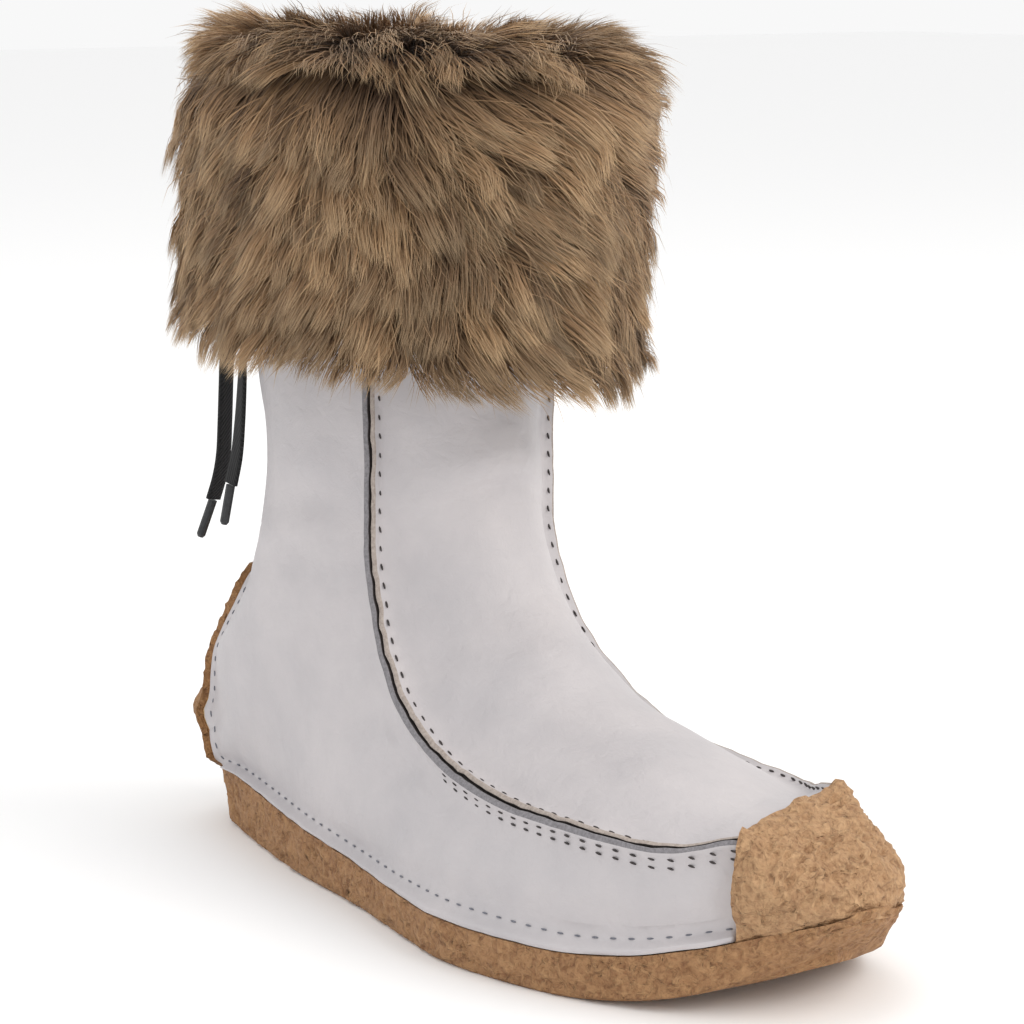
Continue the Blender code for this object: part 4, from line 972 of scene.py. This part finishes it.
def marginPath(rows, hand, inward, stand):
    # stand: height of the stitches on the margin and on the rim beside the heel strip
    found = sections(rows)
    turns = turnsFromEdge(found, hand, stripTurns(rows, found, hand), np.array([inward]))
    place = skin(found, hand, turns)[:, 0]
    out = flatOut(rows, hand)[:, 0]
    normal = skinNormal(rows, hand, turns)[:, 0]
    rim = rimShare(rows)
    facing = unit(unit(out * 0.85 + np.array([0.0, 0.0, 0.5])) * (1 - rim) + normal * rim)
    lift = stand[0] * (1 - rim) + stand[1] * rim
    return place + (out * (1 - rim) + normal * rim) * lift, facing


stitches = stitchTree()
bakeStitches(
    "seam_stitches", stitches,
    [seamPath(np.linspace(bumperRow + 0.04, end, 200), hand, across, stand)
     for hand in (-1, 1) for across, stand, end in stitchSizes["seamRows"]],
    stitchSizes["seam"], finishes["seamThread"])
marginRows = np.concatenate([np.linspace(bumperRow + 0.05, stripRow, 200),
                             np.linspace(stripRow + 0.05, stripTopRow - 0.35, 90)])
bakeStitches(
    "margin_stitches", stitches,
    [marginPath(marginRows, hand, *stitchSizes["marginRow"]) for hand in (-1, 1)],
    stitchSizes["margin"], finishes["marginThread"])
print("mukluk boot: stitches")


# Crepe pieces: outsole, toe bumper and heel strip

crepeSizes = {
    "soleUndercut": 0.0012, "heelUndercut": 0.0045, "heelEnd": 0.3, "edgeRound": 0.0012,
    "toeUndercut": 0.0105, "toeTurns": (0.74, 0.95), "toeRise": 0.0034, "riseTurns": (0.78, 0.97),
    "toeSwell": 0.0009, "swellTurns": (0.795, 0.835),
    "sideShares": (0.0, 0.03, 0.08, 0.15, 0.25, 0.36, 0.47, 0.58, 0.69, 0.80, 0.90, 0.96, 1.0),
    "soleLines": 281, "soleAcross": 9, "mostCrumb": 0.0006,
    "bumperThick": 0.0034, "bumperCrumb": 1.15, "toeDroop": 0.0022, "toeFlush": 0.0004, "edgeBow": 0.30,
    "ridgeHeight": 0.0017, "ridgeTurn": 0.14, "ridgeRows": 0.9,
    "stripThick": 0.0036, "stripCrumb": 0.6, "overhangLift": 0.0020, "overlap": 0.7,
    "crumbSize": 0.0042, "crumbDepth": 0.00030, "lumpSize": 0.010, "lumpDepth": 0.00030,
    "pitSize": 0.0023, "pitDepth": 0.00020,
}


def crumb(places):
    # crinkles of the milled sheet, standing off its mean surface
    look = crepeSizes
    lumps = look["lumpDepth"] * softWaves(places, look["lumpSize"], 31, 12)
    crinkles = look["crumbDepth"] * (1 - 2 * np.abs(softWaves(places, look["crumbSize"], 32, 14)))
    pits = look["pitDepth"] * softWaves(places, look["pitSize"], 33, 14)
    return lumps + crinkles + pits


def makeOutsole():
    look = crepeSizes
    turns = np.linspace(0, 1, look["soleLines"])
    across = look["soleAcross"]
    heel = np.maximum(0, 1 - turns / look["heelEnd"])
    under = look["soleUndercut"] + (look["heelUndercut"] - look["soleUndercut"]) * heel
    toe = look["toeUndercut"] * ramp(turns, *look["toeTurns"])
    swell = look["toeSwell"] * ramp(turns, *look["swellTurns"])

    def sidePlaces(hand, share):
        rounding = look["edgeRound"] * (1 - np.minimum(share / 0.10, 1)) ** 2
        inset = under * (1 - share) + toe * (1 - share) ** 1.8 + rounding - swell * share**0.5
        flat, outward = soleOutline(turns, hand, inset)
        bottom = bottomUp(flat[:, 0], (1 + hand) / 2) + look["toeRise"] * ramp(turns, *look["riseTurns"])
        top = topUp(flat[:, 0])
        place = np.concatenate([flat, (bottom + (top - bottom) * share)[:, None]], axis=1)
        rough = crumb(place) * min(share / 0.08, 1.0, (1 - share) / 0.04 + 0.35)
        place[:, :2] += outward * np.minimum(rough, look["mostCrumb"])[:, None]
        return place

    outerSide = [sidePlaces(-1, share) for share in look["sideShares"]]
    innerSide = [sidePlaces(1, share) for share in look["sideShares"][::-1]]
    shares = [j / across for j in range(1, across)]
    top = [outerSide[-1] * (1 - share) + innerSide[0] * share for share in shares]
    for place in top:
        place[:, 2] = topUp(place[:, 0])
    bottom = [innerSide[-1] * (1 - share) + outerSide[0] * share for share in shares]
    for place, share in zip(bottom, shares):
        place[:, 2] = bottomUp(place[:, 0], 1 - share)
    grid = np.stack(outerSide + top + innerSide + bottom, axis=1)
    piece = solidPiece("crepe_sole", grid.reshape(-1, 3), [gridFaces(*grid.shape[:2], closed=True)],
                       [finishes["crepe"]])
    fitPiece(piece, "crepe_outsole")


def crepeSkins(rows, hand, turns, place, outer, inner):
    # outside and inside of a crepe piece wrapped round the leather, at these distances from it, with
    # their first column standing on the sole
    clear = bootSizes["clearance"]
    onFoot = rows <= heelRow
    normal = skinNormal(rows, hand, turns)
    normal[onFoot, :1] = flatOut(rows[onFoot], hand)
    overhang = crepeSizes["overhangLift"] * (turns + 1)
    skins = []
    for distance, lift in ((outer, overhang), (inner, -crepeSizes["overlap"] * clear)):
        part = place + normal * np.asarray(distance)[..., None]
        floor = topUp(part[..., 0]) + clear + lift
        part[..., 2] = np.maximum(part[..., 2], floor)
        part[onFoot, 0, 2] = topUp(part[onFoot, 0, 0]) + clear
        skins.append(part)
    return skins


def makeBumper():
    look = crepeSizes
    clear = bootSizes["clearance"]
    rows = np.concatenate([np.linspace(0, 1, 22), np.linspace(1, bumperRow, 56)[1:]])
    found = sections(rows)
    turns = np.concatenate([
        np.linspace(-1, 0, 15), np.linspace(0, 0.8, 14)[1:], np.linspace(0.8, 1.25, 12)[1:],
        np.linspace(1.25, 2.0, 10)[1:]])[None, :] + np.zeros((len(rows), 1))
    sides = []
    for hand in (-1, 1):
        place = skin(found, hand, turns)
        length = np.maximum(0, 1 - (bumperRow - rows) / look["ridgeRows"])[:, None]
        rise = np.exp(-((turns - 1) / look["ridgeTurn"]) ** 2) * length
        thick = look["bumperThick"] + look["ridgeHeight"] * rise
        gap = np.where(rows[:, None] == 0, 2 * clear, clear)
        rough = crumb(place) * look["bumperCrumb"]
        rough[:, 0] *= 0.3
        outside, inside = crepeSkins(rows, hand, turns, place, gap + thick + rough, gap)
        # the crepe is drawn down over the sole's top edge
        hang = np.clip((-0.55 - turns) / 0.45, 0, 1)[..., None]
        outside += flatOut(rows, hand) * look["toeFlush"] * hang
        outside[..., 2] -= look["toeDroop"] * hang[..., 0] ** 2
        # the rear edge is cut straight: the rows of each column end a little sooner half way up
        shift = look["edgeBow"] * np.maximum(0, 1 - ((turns[0] - 0.05) / 1.0) ** 2) / bumperRow
        for part in (outside, inside):
            for j in range(part.shape[1]):
                wanted = rows * (1 - shift[j] * rows / bumperRow)
                for axis in range(3):
                    part[:, j, axis] = np.interp(wanted, rows, part[:, j, axis])
        sides.append((outside, inside))
    outside, inside = (joinSides(*skins) for skins in zip(*sides))
    points, groups = shellGrid(outside, inside, lambda ids: (ids[:, 0], ids[:, -1], ids[-1]))
    # paler copy of the sole's crepe: painted light on the toe
    piece = solidPiece("crepe_toe_bumper", points, groups, [finishes["bumperCrepePaintedLight"]])
    fitPiece(piece, "toe_bumper")


def makeHeelStrip():
    look = crepeSizes
    clear = bootSizes["clearance"]
    rows = np.unique(np.concatenate([
        np.linspace(stripRow, heelRow, 34), np.linspace(heelRow, stripTopRow, 70)]))
    found = sections(rows)
    heel = int(np.searchsorted(rows, heelRow + 1e-6))
    points = []
    groups = []
    for hand in (-1, 1):
        edge = stripTurns(rows, found, hand)
        edge[-1] = -1
        turns = -1 + (edge + 1) * np.linspace(0, 1, 19)[None, :]
        place = skin(found, hand, turns)
        rough = crumb(place) * look["stripCrumb"]
        outside, inside = crepeSkins(rows, hand, turns, place, clear + look["stripThick"] + rough, clear)
        start = sum(len(part) for part in points)
        sidePoints, sideGroups = shellGrid(
            outside, inside, lambda ids: (ids[:, -1], ids[:heel, 0], ids[0]), start)
        points.append(sidePoints)
        groups += sideGroups
    # darker copy of the sole's crepe: painted shade at the back of the heel
    piece = solidPiece("crepe_heel_strip", np.concatenate(points), groups, [finishes["stripCrepePaintedShade"]])
    fitPiece(piece, "heel_strip")


makeOutsole()
makeBumper()
makeHeelStrip()
dressNode("insole", "insole")
print("mukluk boot: crepe pieces and insole")


# Lace ends: flat woven ribbons that hang from under the cuff, each in its aglet

laceSizes = {
    "width": 0.0060, "thick": 0.0013, "steps": 70, "sharpDegrees": 60.0,
    # half of the ribbon's section, as shares of its half width and half thickness
    "section": ((-1, -0.35), (-0.93, -0.9), (-0.5, -1), (0, -0.94), (0.5, -1), (0.93, -0.9), (1, -0.35)),
}
# route: places down the middle of the ribbon; facing: (along, side) of its width at the top and the tip
laceEnds = {
    "rear": {
        "route": (
            (0.0319, -0.0200, 0.1720), (0.0300, -0.0207, 0.1670), (0.0274, -0.0217, 0.1620),
            (0.0246, -0.0228, 0.1570), (0.0220, -0.0239, 0.1510), (0.0206, -0.0246, 0.1450),
            (0.0202, -0.0248, 0.1381), (0.0199, -0.0252, 0.1266), (0.0195, -0.0256, 0.1170),
            (0.0188, -0.0266, 0.1098), (0.0175, -0.0283, 0.1025)),
        "facing": ((-0.38, 0.92), (-0.27, 0.96)),
    },
    "outer": {
        "route": (
            (0.0439, -0.0316, 0.1720), (0.0435, -0.0322, 0.1650), (0.0430, -0.0326, 0.1550),
            (0.0427, -0.0330, 0.1480), (0.0425, -0.0333, 0.1411), (0.0420, -0.0339, 0.1299),
            (0.0414, -0.0348, 0.1195), (0.0403, -0.0363, 0.1109)),
        "facing": ((-0.80, 0.60), (-1.00, 0.01)),
    },
}


def makeLaceEnd(which):
    look = laceSizes
    end = laceEnds[which]
    route = np.array(end["route"])
    keys = np.arange(len(route))
    at = np.linspace(0, keys[-1], look["steps"] + 1)
    path = np.stack([smoothCurve(keys, route[:, axis], at) for axis in range(3)], axis=-1)
    run = unit(np.gradient(path, axis=0))
    share = np.linspace(0, 1, len(path))[:, None]
    start, stop = (np.array((*way, 0.0)) for way in end["facing"])
    wide = start * (1 - share) + stop * share
    wide = unit(wide - run * (wide * run).sum(axis=1, keepdims=True))
    deep = np.cross(run, wide)
    section = look["section"] + tuple((-x, -y) for x, y in look["section"])
    grid = np.stack([path + wide * x * (look["width"] / 2) + deep * y * (look["thick"] / 2)
                     for x, y in section], axis=1)
    lines, columns = grid.shape[:2]
    faces = [gridFaces(lines, columns, closed=True),
             np.arange(columns)[None, :], (lines - 1) * columns + np.arange(columns)[None, :]]
    piece = solidPiece(f"lace_{which}", grid.reshape(-1, 3), faces, [finishes["lace"]],
                       sharpDegrees=look["sharpDegrees"])
    # the weave's map: millimetres across and along the ribbon
    layer = piece.data.uv_layers.new(name="weave")
    corners = np.empty(len(piece.data.loops), np.int32)
    piece.data.loops.foreach_get("vertex_index", corners)
    spots = np.empty(len(piece.data.vertices) * 3, np.float32)
    piece.data.vertices.foreach_get("co", spots)
    spots = spots.reshape(-1, 3)
    line = toWorld(path)
    nearest = np.argmin(((spots[:, None, :] - line[None, :, :]) ** 2).sum(axis=-1), axis=1)
    acrossMm = ((spots - line[nearest]) * worldWay(wide)[nearest]).sum(axis=-1) * 1000
    lengthMm = np.concatenate([[0], np.cumsum(np.linalg.norm(np.diff(path, axis=0), axis=1))]) * 1000
    weave = np.stack([acrossMm, lengthMm[nearest]], axis=-1)[corners]
    layer.data.foreach_set("uv", weave.astype(np.float32).ravel())
    fitPiece(piece, f"lace_end_{which}")
    aglet = dressNode(f"aglet_{which}", "aglet")


for which in laceEnds:
    makeLaceEnd(which)
print("mukluk boot: laces")


# Fur cuff: underfur shell and hairs in clumps

furSizes = {
    "top": 0.244, "topDrop": 0.004, "low": 0.157, "lowDrop": 0.015, "turn": 30.0,
    "thick": 0.0175, "lean": 0.0040, "flare": 0.0045, "rootDepth": 0.0100, "rise": 0.0160,
    "hairs": 72000, "clumps": 1500, "crestHairs": 22000, "crestClumps": 420, "locks": 170, "segments": 4,
    "hairLength": 0.0225, "crestLength": 0.0135, "hairWidth": 0.00034, "meanRadius": 0.055,
    "clumpPull": 0.62, "lockPull": 0.44, "flyaway": 0.09,
    # roots of the outside: height above the lower edge and below the top
    "hemRoots": 0.0150, "topRoots": 0.0070, "hemRoom": 0.0045,
    "hemLift": 0.0110, "hemLiftAt": -88.0, "hemLiftSpread": 26.0,
    "crestSink": 0.0105, "crestInside": 0.0060, "crestArch": 0.0022, "nearLift": 0.0042,
    # slope of a crest hair from straight up, in degrees: on the inner edge, and how much more outside
    "firstSlope": (-14, 84), "lastSlope": (50, 118), "crestSteps": 16,
    # wandering lean: the size of its features in metres, its seed and its amount in degrees
    "leanWaves": ((0.040, 51, 15), (0.017, 52, 11)), "crestWaves": ((0.022, 53, 34),),
    # spread of the clumps' and the hairs' own lean, in degrees, and lift off the fur, in metres
    "clumpLean": 8, "hairLean": 5, "crestLean": 12, "wildLean": 22, "clumpLift": 0.0024, "hairLift": 0.0007,
    "wildLift": (0.0022, 0.0018), "clumpCurl": (0.0006, 0.0020), "clumpLengths": (0.80, 1.22),
    "hairLengths": (0.82, 1.15), "crestLengths": (0.75, 1.2), "leastLength": 0.004,
    "toneParts": (0.13, 0.16, 0.14),   # of the lock, the clump and the hair itself
    "backing": 0.0070, "laceRoom": 0.0070, "laceRoomAt": -27.0, "laceRoomSpread": 24.0,
    "underfurRise": 0.0130, "underfurInside": -0.00315, "shellDepth": 0.0088,
}
# flow of the pile: angle round the cuff seen from the camera, lean near the crest and near the lower edge,
# in degrees from straight down, positive towards the toe side
furFlow = (
    (-180.0, 0.0, 0.0), (-130.0, 25.0, 0.0), (-90.0, 58.0, 2.0), (-55.0, 62.0, 14.0), (-25.0, 55.0, 16.0),
    (-4.0, 38.0, 8.0), (6.0, 4.0, -2.0), (18.0, -26.0, -12.0), (45.0, -34.0, -22.0), (85.0, -38.0, -18.0),
    (130.0, -15.0, -8.0), (180.0, 0.0, 0.0),
)
cameraAngle = -144.4
furSectors = ("front_outer", "outer", "back_outer", "back_inner", "inner", "front_inner")   # 60 degrees each


def measureShaft():
    # distance of the shaft's skin from the ankle's axis, by height and by angle from the back
    rows = np.linspace(heelRow + 0.5, collarRow, 60)
    found = sections(rows)
    turns = np.linspace(-1, 2, 61)[None, :] + np.zeros((len(rows), 1))
    ups = np.linspace(0.120, bootSizes["collarHeight"], 22)
    angles = np.linspace(-180, 180, 181)
    table = np.zeros((len(ups), len(angles)))
    spots = np.concatenate([skin(found, hand, turns) for hand in (-1, 1)], axis=1)
    for i, up in enumerate(ups):
        along, side = (np.array([np.interp(up, line[:, 2], line[:, axis]) for line in spots.swapaxes(0, 1)])
                       for axis in (0, 1))
        away = bootSizes["ankleCentre"] - along
        angle = np.degrees(np.arctan2(side, away))
        order = np.argsort(angle)
        table[i] = np.interp(angles, angle[order], np.hypot(side, away)[order], period=360)
    return ups, angles, table


shaftUps, shaftAngles, shaftRadii = measureShaft()


def shaftRadius(angle, up):
    i = np.clip((up - shaftUps[0]) / (shaftUps[1] - shaftUps[0]), 0, len(shaftUps) - 1.001)
    j = ((angle + 180) % 360) / (shaftAngles[1] - shaftAngles[0])
    iLow, jLow = i.astype(int), np.minimum(j.astype(int), len(shaftAngles) - 2)
    iPart, jPart = i - iLow, j - jLow
    low = shaftRadii[iLow, jLow] * (1 - jPart) + shaftRadii[iLow, jLow + 1] * jPart
    high = shaftRadii[iLow + 1, jLow] * (1 - jPart) + shaftRadii[iLow + 1, jLow + 1] * jPart
    return low * (1 - iPart) + high * iPart


def cuffMeasures(angle):
    look = furSizes
    front = (1 - np.cos(np.radians(angle + look["turn"]))) / 2
    low = look["low"] - look["lowDrop"] * front
    top = look["top"] - look["topDrop"] * front
    thick = look["thick"] + look["lean"] * (2 * front - 1)
    return low, top, thick


def furRadius(angle, up):
    # distance of the fur's outside from the ankle's axis
    low, top, thick = cuffMeasures(angle)
    up = np.maximum(up, low)
    start = bootSizes["collarHeight"] + (top - bootSizes["collarHeight"]) * 0.62
    flare = furSizes["flare"] * np.clip((start - up) / (start - low), 0, 1)
    return shaftRadius(angle, np.minimum(up, bootSizes["collarHeight"])) + thick + flare


def polarPlace(angle, radius, up):
    turn = np.radians(angle)
    return np.stack([bootSizes["ankleCentre"] - radius * np.cos(turn), radius * np.sin(turn), up], axis=-1)


def seenFrom(angle):
    # angle round the cuff as the camera sees it
    return (angle - cameraAngle + 180) % 360 - 180


def flowLean(angle, up):
    seen, upper, lower = np.array(furFlow).T
    low, top, _ = cuffMeasures(angle)
    share = ramp(np.clip((up - low) / (top - low), 0, 1), 0.25, 0.95)
    atLow = np.interp(seenFrom(angle), seen, lower)
    return atLow + (np.interp(seenFrom(angle), seen, upper) - atLow) * share


def hairPaths(hair, shares):
    # the places of each hair at these shares of its length
    look = furSizes
    s = shares[None, :]
    own = {name: values[:, None] for name, values in hair.items() if name != "root"}
    length, crest, lift, lean = own["length"], own["crest"], own["lift"], np.radians(own["lean"])
    main = 0.75 * s + 0.25 * s * s
    sideways = length * np.sin(lean) * main + own["curl"] * np.sin(own["phase"] + s * 5.2) * s
    # outside: down over the fold
    up = own["up"] - length * np.cos(lean) * main
    angle = own["angle"] - np.degrees(sideways / look["meanRadius"])
    radius = furRadius(angle, up) - look["rootDepth"]
    radius = radius + look["rise"] * (1.70 * s - 0.85 * s * s) + lift * s
    # crest: up and over, from the hair's first slope to its last
    steps = look["crestSteps"]
    first, last = (np.radians(start + more * np.clip(crest, 0, 1))
                   for start, more in (look["firstSlope"], look["lastSlope"]))
    slope = first + (last - first) * np.linspace(0, 1, steps + 1)[None, :] ** 0.9

    def summed(runs):
        return np.concatenate([np.zeros((len(runs), 1)), np.cumsum(runs / steps, axis=1)], axis=1)

    at = np.round(shares * steps).astype(int)
    crestUp = own["up"] + length * summed(np.cos(slope[:, 1:]))[:, at] + lift * s * 0.9
    reach = own["radius"] + length * summed(np.sin(slope[:, 1:]))[:, at] + lift * s * 0.7
    onCrest = crest >= 0
    up = np.where(onCrest, crestUp, up)
    radius = np.where(onCrest, reach, radius)
    angle = np.where(onCrest, own["angle"] - np.degrees(sideways * 0.75 / look["meanRadius"]), angle)
    return polarPlace(angle, radius, up)


def drawHairs(draw, count, onCrest):
    look = furSizes
    angle = draw.uniform(-180, 180, count)
    low, top, _ = cuffMeasures(angle)
    if onCrest:
        crest = draw.uniform(0, 1, count)
        inner = shaftRadius(angle, np.full(count, bootSizes["collarHeight"])) - look["crestInside"]
        outer = furRadius(angle, top) - look["rootDepth"]
        radius = inner + (outer - inner) * crest
        up = top - look["crestSink"] + look["crestArch"] * np.sin(np.pi * crest)
        up = up + look["nearLift"] * np.maximum(np.cos(np.radians(angle - cameraAngle)), 0)
        length = look["crestLength"] * draw.uniform(*look["crestLengths"], count) * (
            1 + 0.35 * crest + 0.25 * np.sin(np.pi * crest))
    else:
        crest = np.full(count, -1.0)
        span = top - look["topRoots"] - low - look["hemRoots"]
        up = low + look["hemRoots"] + span * draw.uniform(0, 1, count)
        radius = furRadius(angle, up) - look["rootDepth"]
        length = look["hairLength"] * draw.uniform(*look["hairLengths"], count)
    place = polarPlace(angle, radius, up)
    lean = flowLean(angle, up)
    if onCrest:
        lean = addWaves(lean * crest, place, look["crestWaves"])
        lean = lean + look["crestLean"] * draw.normal(0, 1, count)
    else:
        lean = addWaves(lean, place, look["leanWaves"])
        # no hair hangs far below the hem
        lift = np.exp(-((seenFrom(angle) - look["hemLiftAt"]) / look["hemLiftSpread"]) ** 2)
        hem = low + look["hemLift"] * lift
        left = np.maximum(up - hem, look["leastLength"]) + look["hemRoom"] * draw.uniform(0.1, 1.3, count)
        length = np.minimum(length, left / np.maximum(np.cos(np.radians(lean)), 0.35))
    return {"angle": angle, "up": up, "radius": radius, "crest": crest, "length": length, "lean": lean,
            "root": place}


def nearestOf(roots, centres):
    tree = kdtree.KDTree(len(centres))
    for i, centre in enumerate(centres):
        tree.insert(centre, i)
    tree.balance()
    return np.array([tree.find(root)[1] for root in roots.tolist()])


def growFur():
    # for each sector of the cuff, the parts of its hairs: paths, outward directions, tones and tilts
    look = furSizes
    draw = np.random.default_rng(7)
    shares = np.linspace(0, 1, look["segments"] + 1)
    pieces = [[] for _ in furSectors]
    for onCrest, hairCount, clumpCount in ((False, look["hairs"], look["clumps"]),
                                           (True, look["crestHairs"], look["crestClumps"])):
        clumps = drawHairs(draw, clumpCount, onCrest)
        clumps["lean"] = clumps["lean"] + draw.normal(0, look["clumpLean"], clumpCount)
        clumps["length"] = clumps["length"] * draw.uniform(*look["clumpLengths"], clumpCount)
        clumps["lift"] = draw.normal(0.0002, look["clumpLift"], clumpCount)
        clumps["curl"] = draw.uniform(*look["clumpCurl"], clumpCount)
        clumps["phase"] = draw.uniform(0, 2 * np.pi, clumpCount)
        clumpTone = draw.normal(0, 1, clumpCount)
        clumpPaths = hairPaths(clumps, shares)
        lockIds = draw.choice(clumpCount, min(look["locks"], clumpCount // 3), replace=False)
        lockOf = nearestOf(clumps["root"], clumps["root"][lockIds].tolist())
        pull = look["lockPull"] * shares[None, :, None] ** 1.4
        clumpPaths = clumpPaths + (clumpPaths[lockIds][lockOf] - clumpPaths) * pull
        lockTone = draw.normal(0, 1, len(lockIds))[lockOf]

        hairs = drawHairs(draw, hairCount, onCrest)
        clumpOf = nearestOf(hairs["root"], clumps["root"].tolist())
        hairs["curl"] = clumps["curl"][clumpOf]
        hairs["lift"] = clumps["lift"][clumpOf] + draw.normal(0, look["hairLift"], hairCount)
        hairs["phase"] = clumps["phase"][clumpOf] + draw.normal(0, 0.6, hairCount)
        hairs["lean"] = hairs["lean"] + draw.normal(0, look["hairLean"], hairCount)
        wild = draw.uniform(0, 1, hairCount) < look["flyaway"]
        hairs["lift"] = np.where(wild, np.abs(draw.normal(*look["wildLift"], hairCount)), hairs["lift"])
        hairs["lean"] = hairs["lean"] + np.where(wild, draw.normal(0, look["wildLean"], hairCount), 0.0)
        paths = hairPaths(hairs, shares)
        strength = np.where(wild, 0.15, look["clumpPull"] * draw.uniform(0.75, 1.05, hairCount))
        pull = strength[:, None, None] * shares[None, :, None] ** 1.25
        ownLength = (hairs["length"] / look["hairLength"])[:, None, None]
        paths = paths + (clumpPaths[clumpOf] - paths) * pull * np.minimum(ownLength, 1.0)
        lockPart, clumpPart, hairPart = look["toneParts"]
        tone = 0.5 + lockPart * lockTone[clumpOf] + clumpPart * clumpTone[clumpOf]
        tone = np.clip(tone + hairPart * draw.normal(0, 1, hairCount), 0, 1)
        outward = paths.copy()
        outward[..., 0] -= bootSizes["ankleCentre"]
        outward[..., 2] = 0
        outward = unit(outward)
        if onCrest:
            outward = unit(outward * (0.25 + 0.75 * hairs["crest"][:, None, None]) + np.array([0, 0, 0.8]))
        sector = ((hairs["angle"] + 180) // 60).astype(int) % len(furSectors)
        for number, parts in enumerate(pieces):
            chosen = sector == number
            tilt = draw.uniform(-0.9, 0.9, chosen.sum())
            parts.append((paths[chosen], outward[chosen], tone[chosen], tilt))
    return pieces, shares


def makeFurPiece(name, parts, shares):
    # each hair is a flat ribbon that narrows to its tip
    paths, outward, tone, tilt = (np.concatenate(values) for values in zip(*parts))
    tilt = tilt[:, None, None]
    run = unit(np.gradient(paths, axis=1))
    across = unit(np.cross(run, outward))
    facing = np.cross(across, run)
    across = across * np.cos(tilt) + facing * np.sin(tilt)
    width = furSizes["hairWidth"] * (1 - 0.72 * shares**1.6)[None, :, None] / 2
    count, tip = len(paths), 2 * (len(shares) - 1)
    points = np.empty((count, tip + 1, 3))
    points[:, 0:tip:2] = (paths - across * width)[:, :-1]
    points[:, 1:tip:2] = (paths + across * width)[:, :-1]
    points[:, -1] = paths[:, -1]
    start = (np.arange(count) * (tip + 1))[:, None]
    quads = np.concatenate([start + np.array([[i, i + 1, i + 3, i + 2]]) for i in range(0, tip - 2, 2)])
    tips = start + np.array([[tip - 2, tip - 1, tip]])
    mesh = newMesh(name, toWorld(points.reshape(-1, 3)), [quads, tips])
    mesh.shade_smooth()
    values = np.zeros((count, tip + 1, 3), np.float32)
    values[:, :, 0] = np.append(np.repeat(shares[:-1], 2), 1)
    values[:, :, 1] = tone[:, None]
    storeVectors(mesh, "hair", values)
    fitPiece(linkPiece(name, mesh, [finishes["fur"]]), "fur_cuff")


def makeUnderfur():
    # from the hem up inside the fold to the collar, over the crest and down the outside
    look = furSizes
    angles = np.linspace(-180, 180, 145)[:-1]
    low, top, _ = cuffMeasures(angles)
    collar = bootSizes["collarHeight"] + bootSizes["clearance"]
    room = look["laceRoom"] * np.exp(-((angles - look["laceRoomAt"]) / look["laceRoomSpread"]) ** 2)
    backing = look["backing"] + room
    hem = low + look["underfurRise"]
    ring = []
    for share in np.linspace(0, 1, 8):
        up = hem + (collar - hem) * share
        out = backing + (bootSizes["clearance"] - backing) * share
        ring.append(polarPlace(angles, shaftRadius(angles, up) + out, up))
    atCollar = shaftRadius(angles, np.full(len(angles), collar))
    inner = look["underfurInside"]
    for out, up in ((inner, collar), (inner, top - 0.0125), (0.002, top - 0.0090)):
        ring.append(polarPlace(angles, atCollar + out, up + np.zeros(len(angles))))
    shoulder = top - 0.0095
    for share in np.linspace(0, 1, 16):
        up = shoulder + (hem + 0.001 - shoulder) * share
        ring.append(polarPlace(angles, furRadius(angles, up) - look["shellDepth"], up))
    grid = np.stack(ring, axis=1)
    grid = np.concatenate([grid, grid[:1]], axis=0)
    # the dark shell under the hairs stands for painted shade deep in the pile
    piece = solidPiece("underfur", grid.reshape(-1, 3), [gridFaces(*grid.shape[:2], closed=True)],
                       [finishes["hide"]])
    fitPiece(piece, "fur_cuff")


makeUnderfur()
furParts, hairShares = growFur()
for number, place in enumerate(furSectors):
    makeFurPiece(f"fur_{place}", furParts[number], hairShares)
print("mukluk boot: fur cuff")


# Floor and studio light

studio = {
    "floorSize": 14.0, "floorColour": "fbfbfb", "worldColour": "ffffff", "worldStrength": 0.94,
    # place, aim, size in metres, power in watts, colour
    "lights": {
        "keySoftbox": ((0.75, -1.35, 1.30), (0.0, -0.08, 0.12), 1.4, 17.0, "fffaf4"),
        "fillSoftbox": ((-1.60, -0.60, 0.95), (0.0, -0.06, 0.12), 1.6, 1.5, "f2f6ff"),
        "topSoftbox": ((-0.15, 0.35, 1.70), (0.0, -0.05, 0.12), 1.5, 5.0, "ffffff"),
    },
}


def makeStudio():
    look = studio
    half = look["floorSize"] / 2
    mesh = bpy.data.meshes.new("paleFloor")
    mesh.from_pydata([(-half, -half, 0), (half, -half, 0), (half, half, 0), (-half, half, 0)], [],
                     [(0, 1, 2, 3)])
    material, tree, shader, place = startMaterial("paleStudioPaper", Roughness=0.9)
    shader.inputs["Base Color"].default_value = hexColour(look["floorColour"])
    linkPiece("paleFloor", mesh, [material])
    world = bpy.data.worlds.new("studio")
    world.use_nodes = True
    backdrop = world.node_tree.nodes["Background"]
    backdrop.inputs["Color"].default_value = hexColour(look["worldColour"])
    backdrop.inputs["Strength"].default_value = look["worldStrength"]
    bpy.context.scene.world = world
    for name, (place, aim, size, power, colour) in look["lights"].items():
        lamp = addObject(name, bpy.data.lights.new(name, "AREA"))
        lamp.data.size = size
        lamp.data.energy = power
        lamp.data.color = hexColour(colour)[:3]
        lamp.location = place
        lamp.rotation_euler = (Vector(aim) - Vector(place)).to_track_quat("-Z", "Y").to_euler()
    bpy.context.scene.view_settings.view_transform = "Standard"


makeStudio()
print("mukluk boot: studio")
